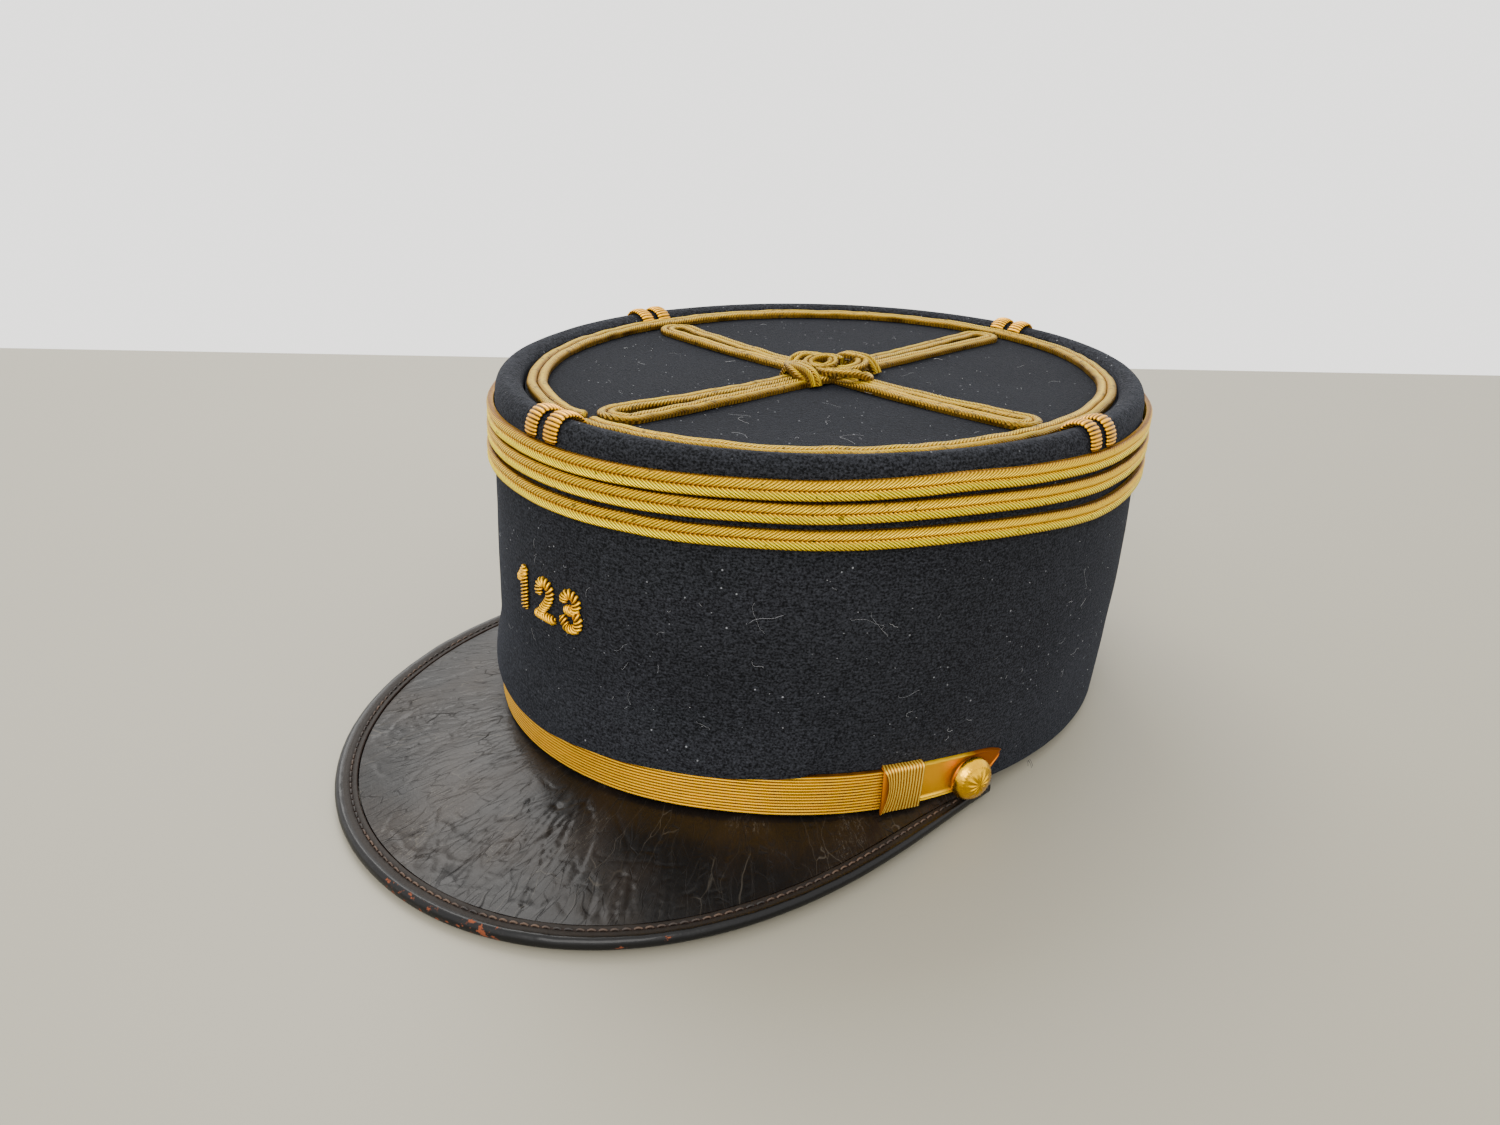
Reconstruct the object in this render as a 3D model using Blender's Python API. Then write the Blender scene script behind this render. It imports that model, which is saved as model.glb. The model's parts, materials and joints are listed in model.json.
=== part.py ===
"""A kepi: a tall oval cloth crown with a gold-braided top, a leather peak and a strap.

The cap is modelled level, front towards -Y, with its base oval centred on the Z axis.
An empty then tips it back until it rests on the crown's rear edge and the tip of the peak.
Places on the crown are given by an angle from the front (positive towards the wearer's
left), a height above the base and a distance outside the cloth. All lengths are metres.
"""
import math

import bpy
import bmesh
from mathutils import Matrix, Vector

# Clearance left between two pieces that lie on each other
FIT_GAP = 0.0003

# Crown
BASE_LENGTH = 0.2030
BASE_WIDTH = 0.1724
TOP_LENGTH = 0.2030
TOP_WIDTH = 0.1732
CROWN_HEIGHT = 0.0945
REAR_FULLNESS = 0.025
CLOTH_WALL = 0.0025
ROLL_WIDTH = 0.0076
ROLL_CREST = 0.0030
ROLL_HEIGHT = 0.0046
LIP_DEPTH = 0.0062
TOP_SINK = 0.0034
TOP_DISH = 0.0016
TOP_CLOTH = 0.0020

# Three rank braids below the rim
RANK_WIDTH = 0.0049
RANK_THICK = 0.0018
RANK_BELOW_RIM = 0.0046
RANK_SPACE_UPPER = 0.0006
RANK_SPACE_LOWER = 0.0015

# Angle round the crown, then how far the upper, middle and lower rank braid sag there
RANK_SAGS = (
    (-40.0, 0.0016, 0.0012, 0.0008),
    (0.0, 0.0010, 0.0006, 0.0002),
    (42.0, 0.0000, -0.0002, -0.0004),
    (64.0, -0.0008, -0.0006, -0.0004),
    (98.0, 0.0012, 0.0019, 0.0027),
    (180.0, 0.0010, 0.0012, 0.0014),
    (320.0, 0.0016, 0.0012, 0.0008),
)

# Oval braid on the top, just inside the rolled rim
RING_WIDTH = 0.0056
RING_THICK = 0.0021

# Pairs of cords over the rim
RIM_CORD_WIDTH = 0.0052
RIM_CORD_THICK = 0.0015
RIM_CORD_SPACE = 0.0025
RIM_CORD_QUARTERS = {"front": -1.3, "left": 92.3, "back": 178.8, "right": 269.4}

# Knot on the top: four arms of doubled braid and a woven centre
ARM_BRAID_WIDTH = 0.0055
ARM_BRAID_THICK = 0.0022
ARM_SPREAD = 0.0086
ARM_TIP_SPACE = 0.0012
KNOT_REACH = 0.0150
KNOT_WEAVE = 0.0060
KNOT_CORD_WIDTH = 0.0046
KNOT_CORD_THICK = 0.0022
KNOT_CROSS_SPACE = 0.0003
KNOT_CROSS_HOLD = 1.6

# Peak
PEAK_REACH = 0.0540
PEAK_HALF_ANGLE = 90.0
PEAK_END_ANGLE = 78.0
PEAK_ROUNDNESS = 2.15
PEAK_TAPER = 2.65
PEAK_FRONT_DROP = 0.0110
PEAK_SIDE_DROP = 0.0036
PEAK_DROP_CURVE = 2.0
PEAK_LEATHER = 0.0018
PEAK_ARCH = 1.25
BINDING_WIDTH = 0.0060
BINDING_THICK = 0.0036
BINDING_END_THICK = 0.0022

# Strap across the front; its front corners are cut at a share of its thickness
STRAP_WIDTH = 0.0119
STRAP_RISE = 0.0010
STRAP_THICK = 0.0013
STRAP_EDGE = 0.6
KEEPER_ANGLE = 61.2
KEEPER_LENGTH = 0.0110
KEEPER_THICK = 0.0009
TAB_THICK = 0.0013
TAB_POINT = 0.0068
TAB_FALL = 0.0030

# Side buttons
BUTTON_ANGLE = 72.3
BUTTON_RISE = 0.0056
BUTTON_DIAMETER = 0.0123
BUTTON_DOME = 0.0052

# Raised numerals on the front; a stroke is fullest at its middle and thinner at its ends
NUMERAL_HEIGHT = 0.0123
NUMERAL_WIDTH = 0.0082
NUMERAL_PITCH = 0.0098
NUMERAL_STROKE = 0.0028
NUMERAL_THICK = 0.0014
NUMERAL_EDGE = 0.45
NUMERAL_RISE = 0.0478

# Fineness of the faceted surfaces
AROUND = 60
PEAK_STEPS = 36
BUTTON_STEPS = 16

# Half section of a braid with two rounded ridges: share of width, share of thickness
BRAID_SECTION = (
    (0.00, 0.00),
    (0.00, 0.55),
    (0.25, 1.00),
    (0.50, 0.68),
    (0.75, 1.00),
    (1.00, 0.55),
    (1.00, 0.00),
)

# Strokes of the three numerals: share of width, share of height, from the lower left
NUMERAL_STROKES = {
    "1": (
        ((0.26, 0.76), (0.42, 0.86), (0.56, 1.00)),
        ((0.56, 0.97), (0.56, 0.50), (0.56, 0.00)),
    ),
    "2": (
        ((0.06, 0.72), (0.16, 0.92), (0.50, 1.00), (0.84, 0.90),
         (0.90, 0.68), (0.70, 0.44), (0.36, 0.22), (0.12, 0.02)),
        ((0.02, 0.00), (0.50, 0.00), (0.98, 0.00)),
    ),
    "3": (
        ((0.08, 0.84), (0.26, 0.97), (0.52, 1.00), (0.82, 0.88),
         (0.82, 0.66), (0.54, 0.53), (0.36, 0.53)),
        ((0.44, 0.55), (0.72, 0.50), (0.94, 0.34), (0.86, 0.10),
         (0.52, 0.00), (0.22, 0.03), (0.04, 0.18)),
    ),
}

# Finishes: red, green, blue, roughness, metallic
FINISHES = {
    "navy_cloth": (0.020, 0.022, 0.028, 0.95, 0.0),
    "gold_braid": (0.600, 0.370, 0.090, 0.45, 0.6),
    "worn_gold_cord": (0.420, 0.250, 0.080, 0.50, 0.5),
    "gold_knot": (0.560, 0.360, 0.110, 0.48, 0.5),
    "black_leather": (0.022, 0.020, 0.019, 0.35, 0.0),
    "binding_leather": (0.016, 0.015, 0.015, 0.28, 0.0),
    "gold_strap": (0.560, 0.300, 0.050, 0.50, 0.3),
    "tab_leather": (0.450, 0.200, 0.040, 0.45, 0.0),
    "gilt_button": (0.800, 0.560, 0.180, 0.22, 1.0),
    "bullion": (0.620, 0.380, 0.080, 0.38, 0.8),
}


def clear_scene():
    """Remove what the file holds, so that the model stands alone."""
    for old in list(bpy.data.objects):
        bpy.data.objects.remove(old, do_unlink=True)


def finish(name):
    """One Principled material by name."""
    red, green, blue, roughness, metallic = FINISHES[name]
    material = bpy.data.materials.get(name) or bpy.data.materials.new(name)
    material.use_nodes = True
    shader = material.node_tree.nodes["Principled BSDF"]
    shader.inputs["Base Color"].default_value = (red, green, blue, 1.0)
    shader.inputs["Roughness"].default_value = roughness
    shader.inputs["Metallic"].default_value = metallic
    return material


def add_object(name, vertices, faces, finish_name, parent, sharp_degrees=40.0):
    """A named mesh object with its faces turned outwards and its round parts smooth."""
    mesh = bpy.data.meshes.new(name)
    mesh.from_pydata([tuple(v) for v in vertices], [], faces)
    shell = bmesh.new()
    shell.from_mesh(mesh)
    bmesh.ops.recalc_face_normals(shell, faces=shell.faces)
    shell.to_mesh(mesh)
    shell.free()
    mesh.shade_smooth()
    mesh.set_sharp_from_angle(angle=math.radians(sharp_degrees))
    thing = bpy.data.objects.new(name, mesh)
    thing.data.materials.append(finish(finish_name))
    bpy.context.collection.objects.link(thing)
    thing.parent = parent
    return thing


def sweep(rows, closed):
    """Vertices and faces through equal rows of points, capped at the ends if open."""
    count = len(rows[0])
    vertices = [point for row in rows for point in row]
    faces = []
    spans = len(rows) if closed else len(rows) - 1
    for i in range(spans):
        this_row = i * count
        next_row = (i + 1) % len(rows) * count
        for j in range(count):
            k = (j + 1) % count
            faces.append((this_row + j, this_row + k, next_row + k, next_row + j))
    if not closed:
        faces.append(tuple(range(count)))
        faces.append(tuple(range(len(vertices) - count, len(vertices))))
    return vertices, faces


def half_sizes(height):
    """Half length and half width of the crown's outside at a height."""
    share = height / CROWN_HEIGHT
    half_length = 0.5 * (BASE_LENGTH + (TOP_LENGTH - BASE_LENGTH) * share)
    half_width = 0.5 * (BASE_WIDTH + (TOP_WIDTH - BASE_WIDTH) * share)
    return half_length, half_width


def oval(angle, half_length, half_width):
    """A point of an egg-shaped oval, fuller at the rear."""
    t = math.radians(angle)
    y = -half_length * math.cos(t)
    x = half_width * math.sin(t) * (1.0 + REAR_FULLNESS * y / half_length)
    return Vector((x, y, 0.0))


def oval_normal(angle, half_length, half_width):
    """Level direction that points out of the oval."""
    step = 0.5
    ahead = oval(angle + step, half_length, half_width)
    behind = oval(angle - step, half_length, half_width)
    along = (ahead - behind).normalized()
    return Vector((along.y, -along.x, 0.0))


def wall_point(angle, height, out=0.0):
    """A point on the crown's side, or a distance outside it."""
    half_length, half_width = half_sizes(height)
    point = oval(angle, half_length, half_width)
    point += oval_normal(angle, half_length, half_width) * out
    point.z = height
    return point


def wall_frame(angle, height, out):
    """Axes on the crown's side: along it to the wearer's left, up it, and out of it."""
    out_axis = oval_normal(angle, *half_sizes(height))
    along_axis = Vector((-out_axis.y, out_axis.x, 0.0))
    place = wall_point(angle, height, out)
    frame = Matrix((along_axis, Vector((0.0, 0.0, 1.0)), out_axis)).transposed().to_4x4()
    frame.translation = place
    return frame


def angle_after(angle, height, distance):
    """The angle reached by going a distance round the crown's side."""
    half_length, half_width = half_sizes(height)
    step = 0.25
    a = oval(angle - step, half_length, half_width)
    b = oval(angle + step, half_length, half_width)
    return angle + distance / ((b - a).length / (2.0 * step))


def top_height(x, y):
    """Height of the sunken, slightly dished top cloth."""
    half_length, half_width = half_sizes(CROWN_HEIGHT)
    across = (x / (half_width - ROLL_WIDTH)) ** 2
    along = (y / (half_length - ROLL_WIDTH)) ** 2
    return CROWN_HEIGHT - TOP_SINK - TOP_DISH * (1.0 - min(1.0, across + along))


def roll_point(share):
    """Inset and height on the rolled rim, from its outer foot (0) to its inner foot (1)."""
    turn = math.pi * share
    if share <= 0.5:
        inset = ROLL_CREST * (1.0 - math.cos(turn))
        height = CROWN_HEIGHT - ROLL_HEIGHT * (1.0 - math.sin(turn))
    else:
        inset = ROLL_CREST - (ROLL_WIDTH - ROLL_CREST) * math.cos(turn)
        height = CROWN_HEIGHT - TOP_SINK * (1.0 - math.sin(turn))
    return inset, height


def braid_section(width, thick):
    """The two-ridged section in real sizes: distance across, rise."""
    return [(across * width, rise * thick) for across, rise in BRAID_SECTION]


def make_crown_side(parent):
    """The side wall, turned in at the top as a soft rolled rim."""
    section = [(0.0, CROWN_HEIGHT * share) for share in (0.0, 0.33, 0.66)]
    section += [roll_point(share / 6.0) for share in range(7)]
    section.append((ROLL_WIDTH, CROWN_HEIGHT - LIP_DEPTH))
    section.append((CLOTH_WALL, CROWN_HEIGHT - LIP_DEPTH - (ROLL_WIDTH - CLOTH_WALL)))
    section.append((CLOTH_WALL, 0.0))
    rows = []
    for i in range(AROUND):
        angle = 360.0 * i / AROUND
        rows.append([wall_point(angle, height, -inset) for inset, height in section])
    add_object("crown_side", *sweep(rows, closed=True), "navy_cloth", parent)


def make_crown_top(parent):
    """The oval top piece, set inside the rolled rim."""
    inset = ROLL_WIDTH + FIT_GAP
    shares = (1.0, 0.68, 0.34)
    vertices = []
    for lower in (0.0, TOP_CLOTH):
        for share in shares:
            for i in range(AROUND):
                edge = wall_point(360.0 * i / AROUND, CROWN_HEIGHT, -inset)
                x, y = edge.x * share, edge.y * share
                vertices.append((x, y, top_height(x, y) - lower))
        vertices.append((0.0, 0.0, top_height(0.0, 0.0) - lower))
    faces = []
    layer = len(shares) * AROUND + 1
    for base in (0, layer):
        for i in range(AROUND):
            k = (i + 1) % AROUND
            for ring in range(len(shares) - 1):
                outer, inner = base + ring * AROUND, base + (ring + 1) * AROUND
                faces.append((outer + i, outer + k, inner + k, inner + i))
            last = base + (len(shares) - 1) * AROUND
            faces.append((last + i, last + k, base + layer - 1))
    for i in range(AROUND):
        k = (i + 1) % AROUND
        faces.append((i, k, layer + k, layer + i))
    add_object("crown_top", vertices, faces, "navy_cloth", parent)


def rank_tops(angle):
    """Height of each rank braid's upper edge at an angle, from the highest down."""
    first = CROWN_HEIGHT - RANK_BELOW_RIM
    second = first - RANK_WIDTH - RANK_SPACE_UPPER
    third = second - RANK_WIDTH - RANK_SPACE_LOWER
    start = RANK_SAGS[0][0]
    place = (angle - start) % 360.0 + start
    for before, after in zip(RANK_SAGS, RANK_SAGS[1:]):
        if place <= after[0]:
            break
    share = (place - before[0]) / (after[0] - before[0])
    ease = share * share * (3.0 - 2.0 * share)
    sags = [a + (b - a) * ease for a, b in zip(before[1:], after[1:])]
    return first - sags[0], second - sags[1], third - sags[2]


def make_rank_braids(parent):
    """Three gold braids that run right round the crown."""
    section = braid_section(RANK_WIDTH, RANK_THICK)
    for number in range(3):
        rows = []
        for i in range(AROUND):
            angle = 360.0 * i / AROUND
            top = rank_tops(angle)[number]
            rows.append([wall_point(angle, top - across, FIT_GAP + rise)
                         for across, rise in section])
        add_object(f"rank_braid_{number + 1}", *sweep(rows, closed=True), "gold_braid", parent)


def ring_inset():
    """Distance from the crown's outside to the top braid's outer edge."""
    return ROLL_WIDTH + 2.0 * FIT_GAP


def make_top_ring(parent):
    """The oval braid that lies on the top, against the rolled rim."""
    section = braid_section(RING_WIDTH, RING_THICK)
    rows = []
    for i in range(AROUND):
        angle = 360.0 * i / AROUND
        row = []
        for across, rise in section:
            point = wall_point(angle, CROWN_HEIGHT, -ring_inset() - across)
            point.z = top_height(point.x, point.y) + FIT_GAP + rise
            row.append(point)
        rows.append(row)
    add_object("top_ring_braid", *sweep(rows, closed=True), "gold_knot", parent)


def rim_cord_path(angle):
    """Inset and height along a rim cord's middle, from the top rank braid to the ring."""
    lift = FIT_GAP + 0.5 * RIM_CORD_THICK
    path = [(-lift, rank_tops(angle)[0] + 2.0 * FIT_GAP)]
    steps = 8
    for i in range(1, steps):
        share = i / steps
        before = Vector(roll_point(share - 0.02))
        after = Vector(roll_point(share + 0.02))
        along = (after - before).normalized()
        place = Vector(roll_point(share))
        path.append((place.x - along.y * lift, place.y + along.x * lift))
    return path


def make_rim_cords(parent):
    """Two short cords side by side over the rim at each quarter of the cap."""
    steps = 8
    pitch = RIM_CORD_WIDTH + RIM_CORD_SPACE
    for quarter, middle in RIM_CORD_QUARTERS.items():
        for number, side in enumerate((-0.5, 0.5), start=1):
            angle = angle_after(middle, CROWN_HEIGHT, side * pitch)
            frame = wall_frame(angle, CROWN_HEIGHT, 0.0)
            path = rim_cord_path(angle)
            rows = []
            for i, (inset, height) in enumerate(path):
                before = Vector(path[max(i - 1, 0)])
                after = Vector(path[min(i + 1, len(path) - 1)])
                along = (after - before).normalized()
                row = []
                for j in range(steps):
                    turn = 2.0 * math.pi * (j + 0.5) / steps
                    aside = 0.5 * RIM_CORD_WIDTH * math.cos(turn)
                    off = 0.5 * RIM_CORD_THICK * math.sin(turn)
                    depth = inset - along.y * off
                    rise = height + along.x * off
                    row.append(frame @ Vector((aside, rise - CROWN_HEIGHT, -depth)))
                rows.append(row)
            name = f"rim_cord_{quarter}_{number}"
            add_object(name, *sweep(rows, closed=False), "worn_gold_cord", parent)


def arm_lengths():
    """How far each arm reaches from the middle: just short of the ring braid."""
    half_length, half_width = half_sizes(CROWN_HEIGHT)
    inside = ring_inset() + RING_WIDTH + ARM_TIP_SPACE
    return {
        "front": (-90.0, half_length - inside),
        "left": (0.0, half_width - inside),
        "back": (90.0, half_length - inside),
        "right": (180.0, half_width - inside),
    }


def make_knot_arms(parent):
    """Four arms, each one braid that runs out from the knot and back."""
    section = braid_section(ARM_BRAID_WIDTH, ARM_BRAID_THICK)
    bend = 0.5 * ARM_SPREAD
    start = KNOT_REACH + FIT_GAP
    straight_steps = 4
    bend_steps = 6
    for side, (heading, reach) in arm_lengths().items():
        bend_at = reach - bend - 0.5 * ARM_BRAID_WIDTH
        middle = []
        for i in range(straight_steps):
            along = start + (bend_at - start) * i / straight_steps
            middle.append((along, -bend, -90.0))
        for i in range(bend_steps + 1):
            turn = -90.0 + 180.0 * i / bend_steps
            around = math.radians(turn)
            middle.append((bend_at + bend * math.cos(around), bend * math.sin(around), turn))
        for i in reversed(range(straight_steps)):
            along = start + (bend_at - start) * i / straight_steps
            middle.append((along, bend, 90.0))
        turned = Matrix.Rotation(math.radians(heading), 3, "Z")
        rows = []
        for along, aside, turn in middle:
            outward = Vector((math.cos(math.radians(turn)), math.sin(math.radians(turn)), 0.0))
            row = []
            for across, rise in section:
                flat = Vector((along, aside, 0.0)) + outward * (across - 0.5 * ARM_BRAID_WIDTH)
                point = turned @ flat
                point.z = top_height(point.x, point.y) + FIT_GAP + rise
                row.append(point)
            rows.append(row)
        add_object(f"knot_arm_{side}", *sweep(rows, closed=False), "gold_knot", parent)


def make_knot_centre(parent):
    """The woven middle: one endless cord in four small loops, over and under itself."""
    steps = 60
    sides = 6
    scale = KNOT_REACH - 0.5 * (KNOT_CORD_WIDTH + KNOT_WEAVE)
    loops = scale + KNOT_WEAVE
    lift = 0.5 * (KNOT_CORD_THICK + KNOT_CROSS_SPACE)
    lowest = top_height(0.0, 0.0) + FIT_GAP + 0.5 * KNOT_CORD_THICK
    cross_turn = KNOT_WEAVE / (scale + 3.0 * loops)
    steepness = KNOT_CROSS_HOLD / math.sin(4.0 * cross_turn)

    def middle(turn):
        """The cord's middle line, seen from above and from the side."""
        x = 0.5 * (scale * math.cos(turn) + loops * math.cos(3.0 * turn))
        y = 0.5 * (scale * math.sin(turn) - loops * math.sin(3.0 * turn))
        wave = -steepness * math.sin(4.0 * (turn - 0.25 * math.pi))
        weave = max(-1.0, min(1.0, wave))
        return Vector((x, y, lowest + lift * (1.0 + weave)))

    rows = []
    for i in range(steps):
        turn = 2.0 * math.pi * i / steps
        ahead = middle(turn + 0.01) - middle(turn - 0.01)
        aside = Vector((-ahead.y, ahead.x, 0.0)).normalized()
        row = []
        for j in range(sides):
            around = 2.0 * math.pi * j / sides
            across = aside * (0.5 * KNOT_CORD_WIDTH * math.cos(around))
            rise = Vector((0.0, 0.0, 0.5 * KNOT_CORD_THICK * math.sin(around)))
            row.append(middle(turn) + across + rise)
        rows.append(row)
    add_object("knot_centre", *sweep(rows, closed=True), "gold_knot", parent)


def peak_share(angle):
    """How much of its full reach the peak has at an angle."""
    return (1.0 - (abs(angle) / PEAK_HALF_ANGLE) ** PEAK_ROUNDNESS) ** PEAK_TAPER


def binding_size(angle):
    """Width, thickness and underside height of the rolled edge at an angle."""
    share = peak_share(angle)
    room = PEAK_REACH * share - FIT_GAP
    width = BINDING_WIDTH * (1.0 - math.exp(-room / BINDING_WIDTH))
    thick = BINDING_END_THICK + (BINDING_THICK - BINDING_END_THICK) * math.sqrt(share)
    drop = PEAK_SIDE_DROP + (PEAK_FRONT_DROP - PEAK_SIDE_DROP) * share ** PEAK_DROP_CURVE
    return width, thick, -drop


def peak_angles():
    """Angles of the peak's sections, from the wearer's right to the left."""
    return [PEAK_END_ANGLE * (2.0 * i / PEAK_STEPS - 1.0) for i in range(PEAK_STEPS + 1)]


def base_point(angle, out, height):
    """A point outside the crown's base oval."""
    point = wall_point(angle, 0.0, out)
    point.z = height
    return point


def make_peak(parent):
    """The leather peak: from under the crown's edge out to the rolled binding."""
    inner_middle = -FIT_GAP - 0.5 * PEAK_LEATHER
    shares = (0.0, 0.25, 0.5, 0.75, 1.0)
    rows = []
    for angle in peak_angles():
        width, thick, underside = binding_size(angle)
        outer = PEAK_REACH * peak_share(angle) - width - FIT_GAP
        outer_middle = underside + 0.5 * thick
        line = [(-CLOTH_WALL, inner_middle)]
        for share in shares:
            height = inner_middle + (outer_middle - inner_middle) * share ** PEAK_ARCH
            line.append((outer * share, height))
        upper = [base_point(angle, out, z + 0.5 * PEAK_LEATHER) for out, z in line]
        lower = [base_point(angle, out, z - 0.5 * PEAK_LEATHER) for out, z in reversed(line)]
        rows.append(upper + lower)
    add_object("peak", *sweep(rows, closed=False), "black_leather", parent)


def make_peak_binding(parent):
    """The rolled edge: flat below and above, round outside."""
    shape = (
        (0.00, 0.14), (0.00, 0.86), (0.14, 1.00), (0.66, 1.00), (0.92, 0.80),
        (1.00, 0.50), (0.92, 0.20), (0.66, 0.00), (0.14, 0.00),
    )
    rows = []
    for angle in peak_angles():
        width, thick, underside = binding_size(angle)
        inner = PEAK_REACH * peak_share(angle) - width
        rows.append([base_point(angle, inner + width * across, underside + thick * rise)
                     for across, rise in shape])
    return add_object("peak_binding", *sweep(rows, closed=False), "binding_leather", parent)


def wall_strip(columns, thick, out):
    """Rows for a strip on the crown's side; each column is angle, lower and upper height."""
    rows = []
    for angle, low, high in columns:
        edge = min(0.25 * (high - low), STRAP_EDGE * thick)
        rows.append([
            wall_point(angle, low, out),
            wall_point(angle, low, out + STRAP_EDGE * thick),
            wall_point(angle, low + edge, out + thick),
            wall_point(angle, high - edge, out + thick),
            wall_point(angle, high, out + STRAP_EDGE * thick),
            wall_point(angle, high, out),
        ])
    return rows


def keeper_half_angle():
    """Half of the angle that a keeper covers."""
    return angle_after(KEEPER_ANGLE, 0.0, 0.5 * KEEPER_LENGTH) - KEEPER_ANGLE


def make_strap(parent):
    """The ribbed strap across the front, up to the middle of each keeper."""
    end = angle_after(KEEPER_ANGLE, 0.0, -0.5 * FIT_GAP)
    steps = 36
    columns = []
    for i in range(steps + 1):
        angle = end * (2.0 * i / steps - 1.0)
        columns.append((angle, STRAP_RISE, STRAP_RISE + STRAP_WIDTH))
    rows = wall_strip(columns, STRAP_THICK, FIT_GAP)
    add_object("chin_strap", *sweep(rows, closed=False), "gold_strap", parent)


def make_strap_tab(side, sign, parent):
    """The plain end of the strap, which runs behind the button to a blunt point."""
    start = angle_after(KEEPER_ANGLE, 0.0, 0.5 * FIT_GAP)
    tip = angle_after(BUTTON_ANGLE, 0.0, 0.5 * BUTTON_DIAMETER + 0.5 * TAB_POINT)
    shoulder = angle_after(tip, 0.0, -TAB_POINT)
    low, high = STRAP_RISE, STRAP_RISE + STRAP_WIDTH
    # Place along the point, then how far the lower and the upper edge close in
    point_shape = ((0.00, 0.00, 0.00), (0.35, 0.10, 0.00), (0.70, 0.26, 0.05), (1.00, 0.48, 0.20))
    steps = 5
    places = [(start + (shoulder - start) * i / steps, 0.0, 0.0) for i in range(steps)]
    places += [(shoulder + (tip - shoulder) * along, lower, upper)
               for along, lower, upper in point_shape]
    columns = []
    for angle, lower, upper in places:
        fall = TAB_FALL * ((angle - start) / (tip - start)) ** 2
        columns.append((angle, low + STRAP_WIDTH * lower, high - STRAP_WIDTH * upper - fall))
    mirrored = [(sign * angle, lower, upper) for angle, lower, upper in columns]
    rows = wall_strip(mirrored, TAB_THICK, FIT_GAP)
    add_object(f"strap_tab_{side}", *sweep(rows, closed=False), "tab_leather", parent)


def make_keeper(side, sign, parent):
    """The slide round the strap: a plate in front, folded over the strap's upper edge."""
    inside = 2.0 * FIT_GAP + STRAP_THICK
    outside = inside + KEEPER_THICK
    low = STRAP_RISE
    roof = STRAP_RISE + STRAP_WIDTH + FIT_GAP
    section = (
        (inside, low), (outside, low), (outside, roof + STRAP_EDGE * KEEPER_THICK),
        (outside - (1.0 - STRAP_EDGE) * KEEPER_THICK, roof + KEEPER_THICK),
        (FIT_GAP, roof + KEEPER_THICK),
        (FIT_GAP, roof), (inside, roof),
    )
    half = keeper_half_angle()
    rows = []
    for i in range(5):
        angle = sign * (KEEPER_ANGLE + half * (0.5 * i - 1.0))
        rows.append([wall_point(angle, height, out) for out, height in section])
    add_object(f"strap_keeper_{side}", *sweep(rows, closed=False), "gold_strap", parent)


def make_button(side, sign, parent):
    """A domed button, turned about an axis that points out of the crown."""
    radius = 0.5 * BUTTON_DIAMETER
    seat = 2.0 * FIT_GAP + TAB_THICK
    # Share of the radius and of the height, from the back of the button to its widest place
    back = ((0.55, 0.0), (0.86, 0.10), (1.00, 0.26))
    widest = back[-1][1]
    profile = [(radius * r, BUTTON_DOME * z) for r, z in back]
    dome_steps = 5
    flat_top_degrees = 15.0
    for i in range(1, dome_steps + 1):
        turn = math.radians((90.0 - flat_top_degrees) * i / dome_steps)
        rise = widest + (1.0 - widest) * math.sin(turn)
        profile.append((radius * math.cos(turn), BUTTON_DOME * rise))
    frame = wall_frame(sign * BUTTON_ANGLE, BUTTON_RISE, seat)
    rows = []
    for i in range(BUTTON_STEPS):
        turn = 2.0 * math.pi * i / BUTTON_STEPS
        rows.append([frame @ Vector((r * math.cos(turn), r * math.sin(turn), z))
                     for r, z in profile])
    vertices, faces = sweep(rows, closed=True)
    count = len(profile)
    # The open sweep's first and last points are closed by one face each
    faces = [face for face in faces if not {face[0] % count, face[1] % count} == {0, count - 1}]
    faces.append(tuple(i * count for i in range(BUTTON_STEPS)))
    faces.append(tuple(i * count + count - 1 for i in range(BUTTON_STEPS)))
    add_object(f"side_button_{side}", vertices, faces, "gilt_button", parent)


def smooth_line(points, steps):
    """Points on a smooth curve through a few given ones."""
    line = []
    for i in range(len(points) - 1):
        before = points[max(i - 1, 0)]
        a, b = points[i], points[i + 1]
        after = points[min(i + 2, len(points) - 1)]
        for k in range(steps):
            s = k / steps
            line.append(0.5 * (2.0 * a + (b - before) * s
                               + (2.0 * before - 5.0 * a + 4.0 * b - after) * s ** 2
                               + (3.0 * a - before - 3.0 * b + after) * s ** 3))
    line.append(points[-1])
    return line


def stroke_rows(stroke):
    """Sections of one domed stroke of a numeral, lying in its own plane."""
    span_x = NUMERAL_WIDTH - NUMERAL_STROKE
    span_y = NUMERAL_HEIGHT - NUMERAL_STROKE
    given = [Vector(((x - 0.5) * span_x, (y - 0.5) * span_y, 0.0)) for x, y in stroke]
    line = smooth_line(given, 2)
    half = 0.5 * NUMERAL_STROKE
    first = (line[0] - line[1]).normalized()
    last = (line[-1] - line[-2]).normalized()
    middle = [(line[0] + first * half, NUMERAL_EDGE)]
    middle += [(point, 1.0) for point in line]
    middle.append((line[-1] + last * half, NUMERAL_EDGE))
    rows = []
    for i, (point, fullness) in enumerate(middle):
        before = middle[max(i - 1, 0)][0]
        after = middle[min(i + 1, len(middle) - 1)][0]
        along = (after - before).normalized()
        aside = Vector((-along.y, along.x, 0.0)) * half * fullness
        lift = Vector((0.0, 0.0, NUMERAL_THICK))
        rows.append([point - aside, point - aside + lift * NUMERAL_EDGE,
                     point - aside * 0.5 + lift, point + aside * 0.5 + lift,
                     point + aside + lift * NUMERAL_EDGE, point + aside])
    return rows


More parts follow.
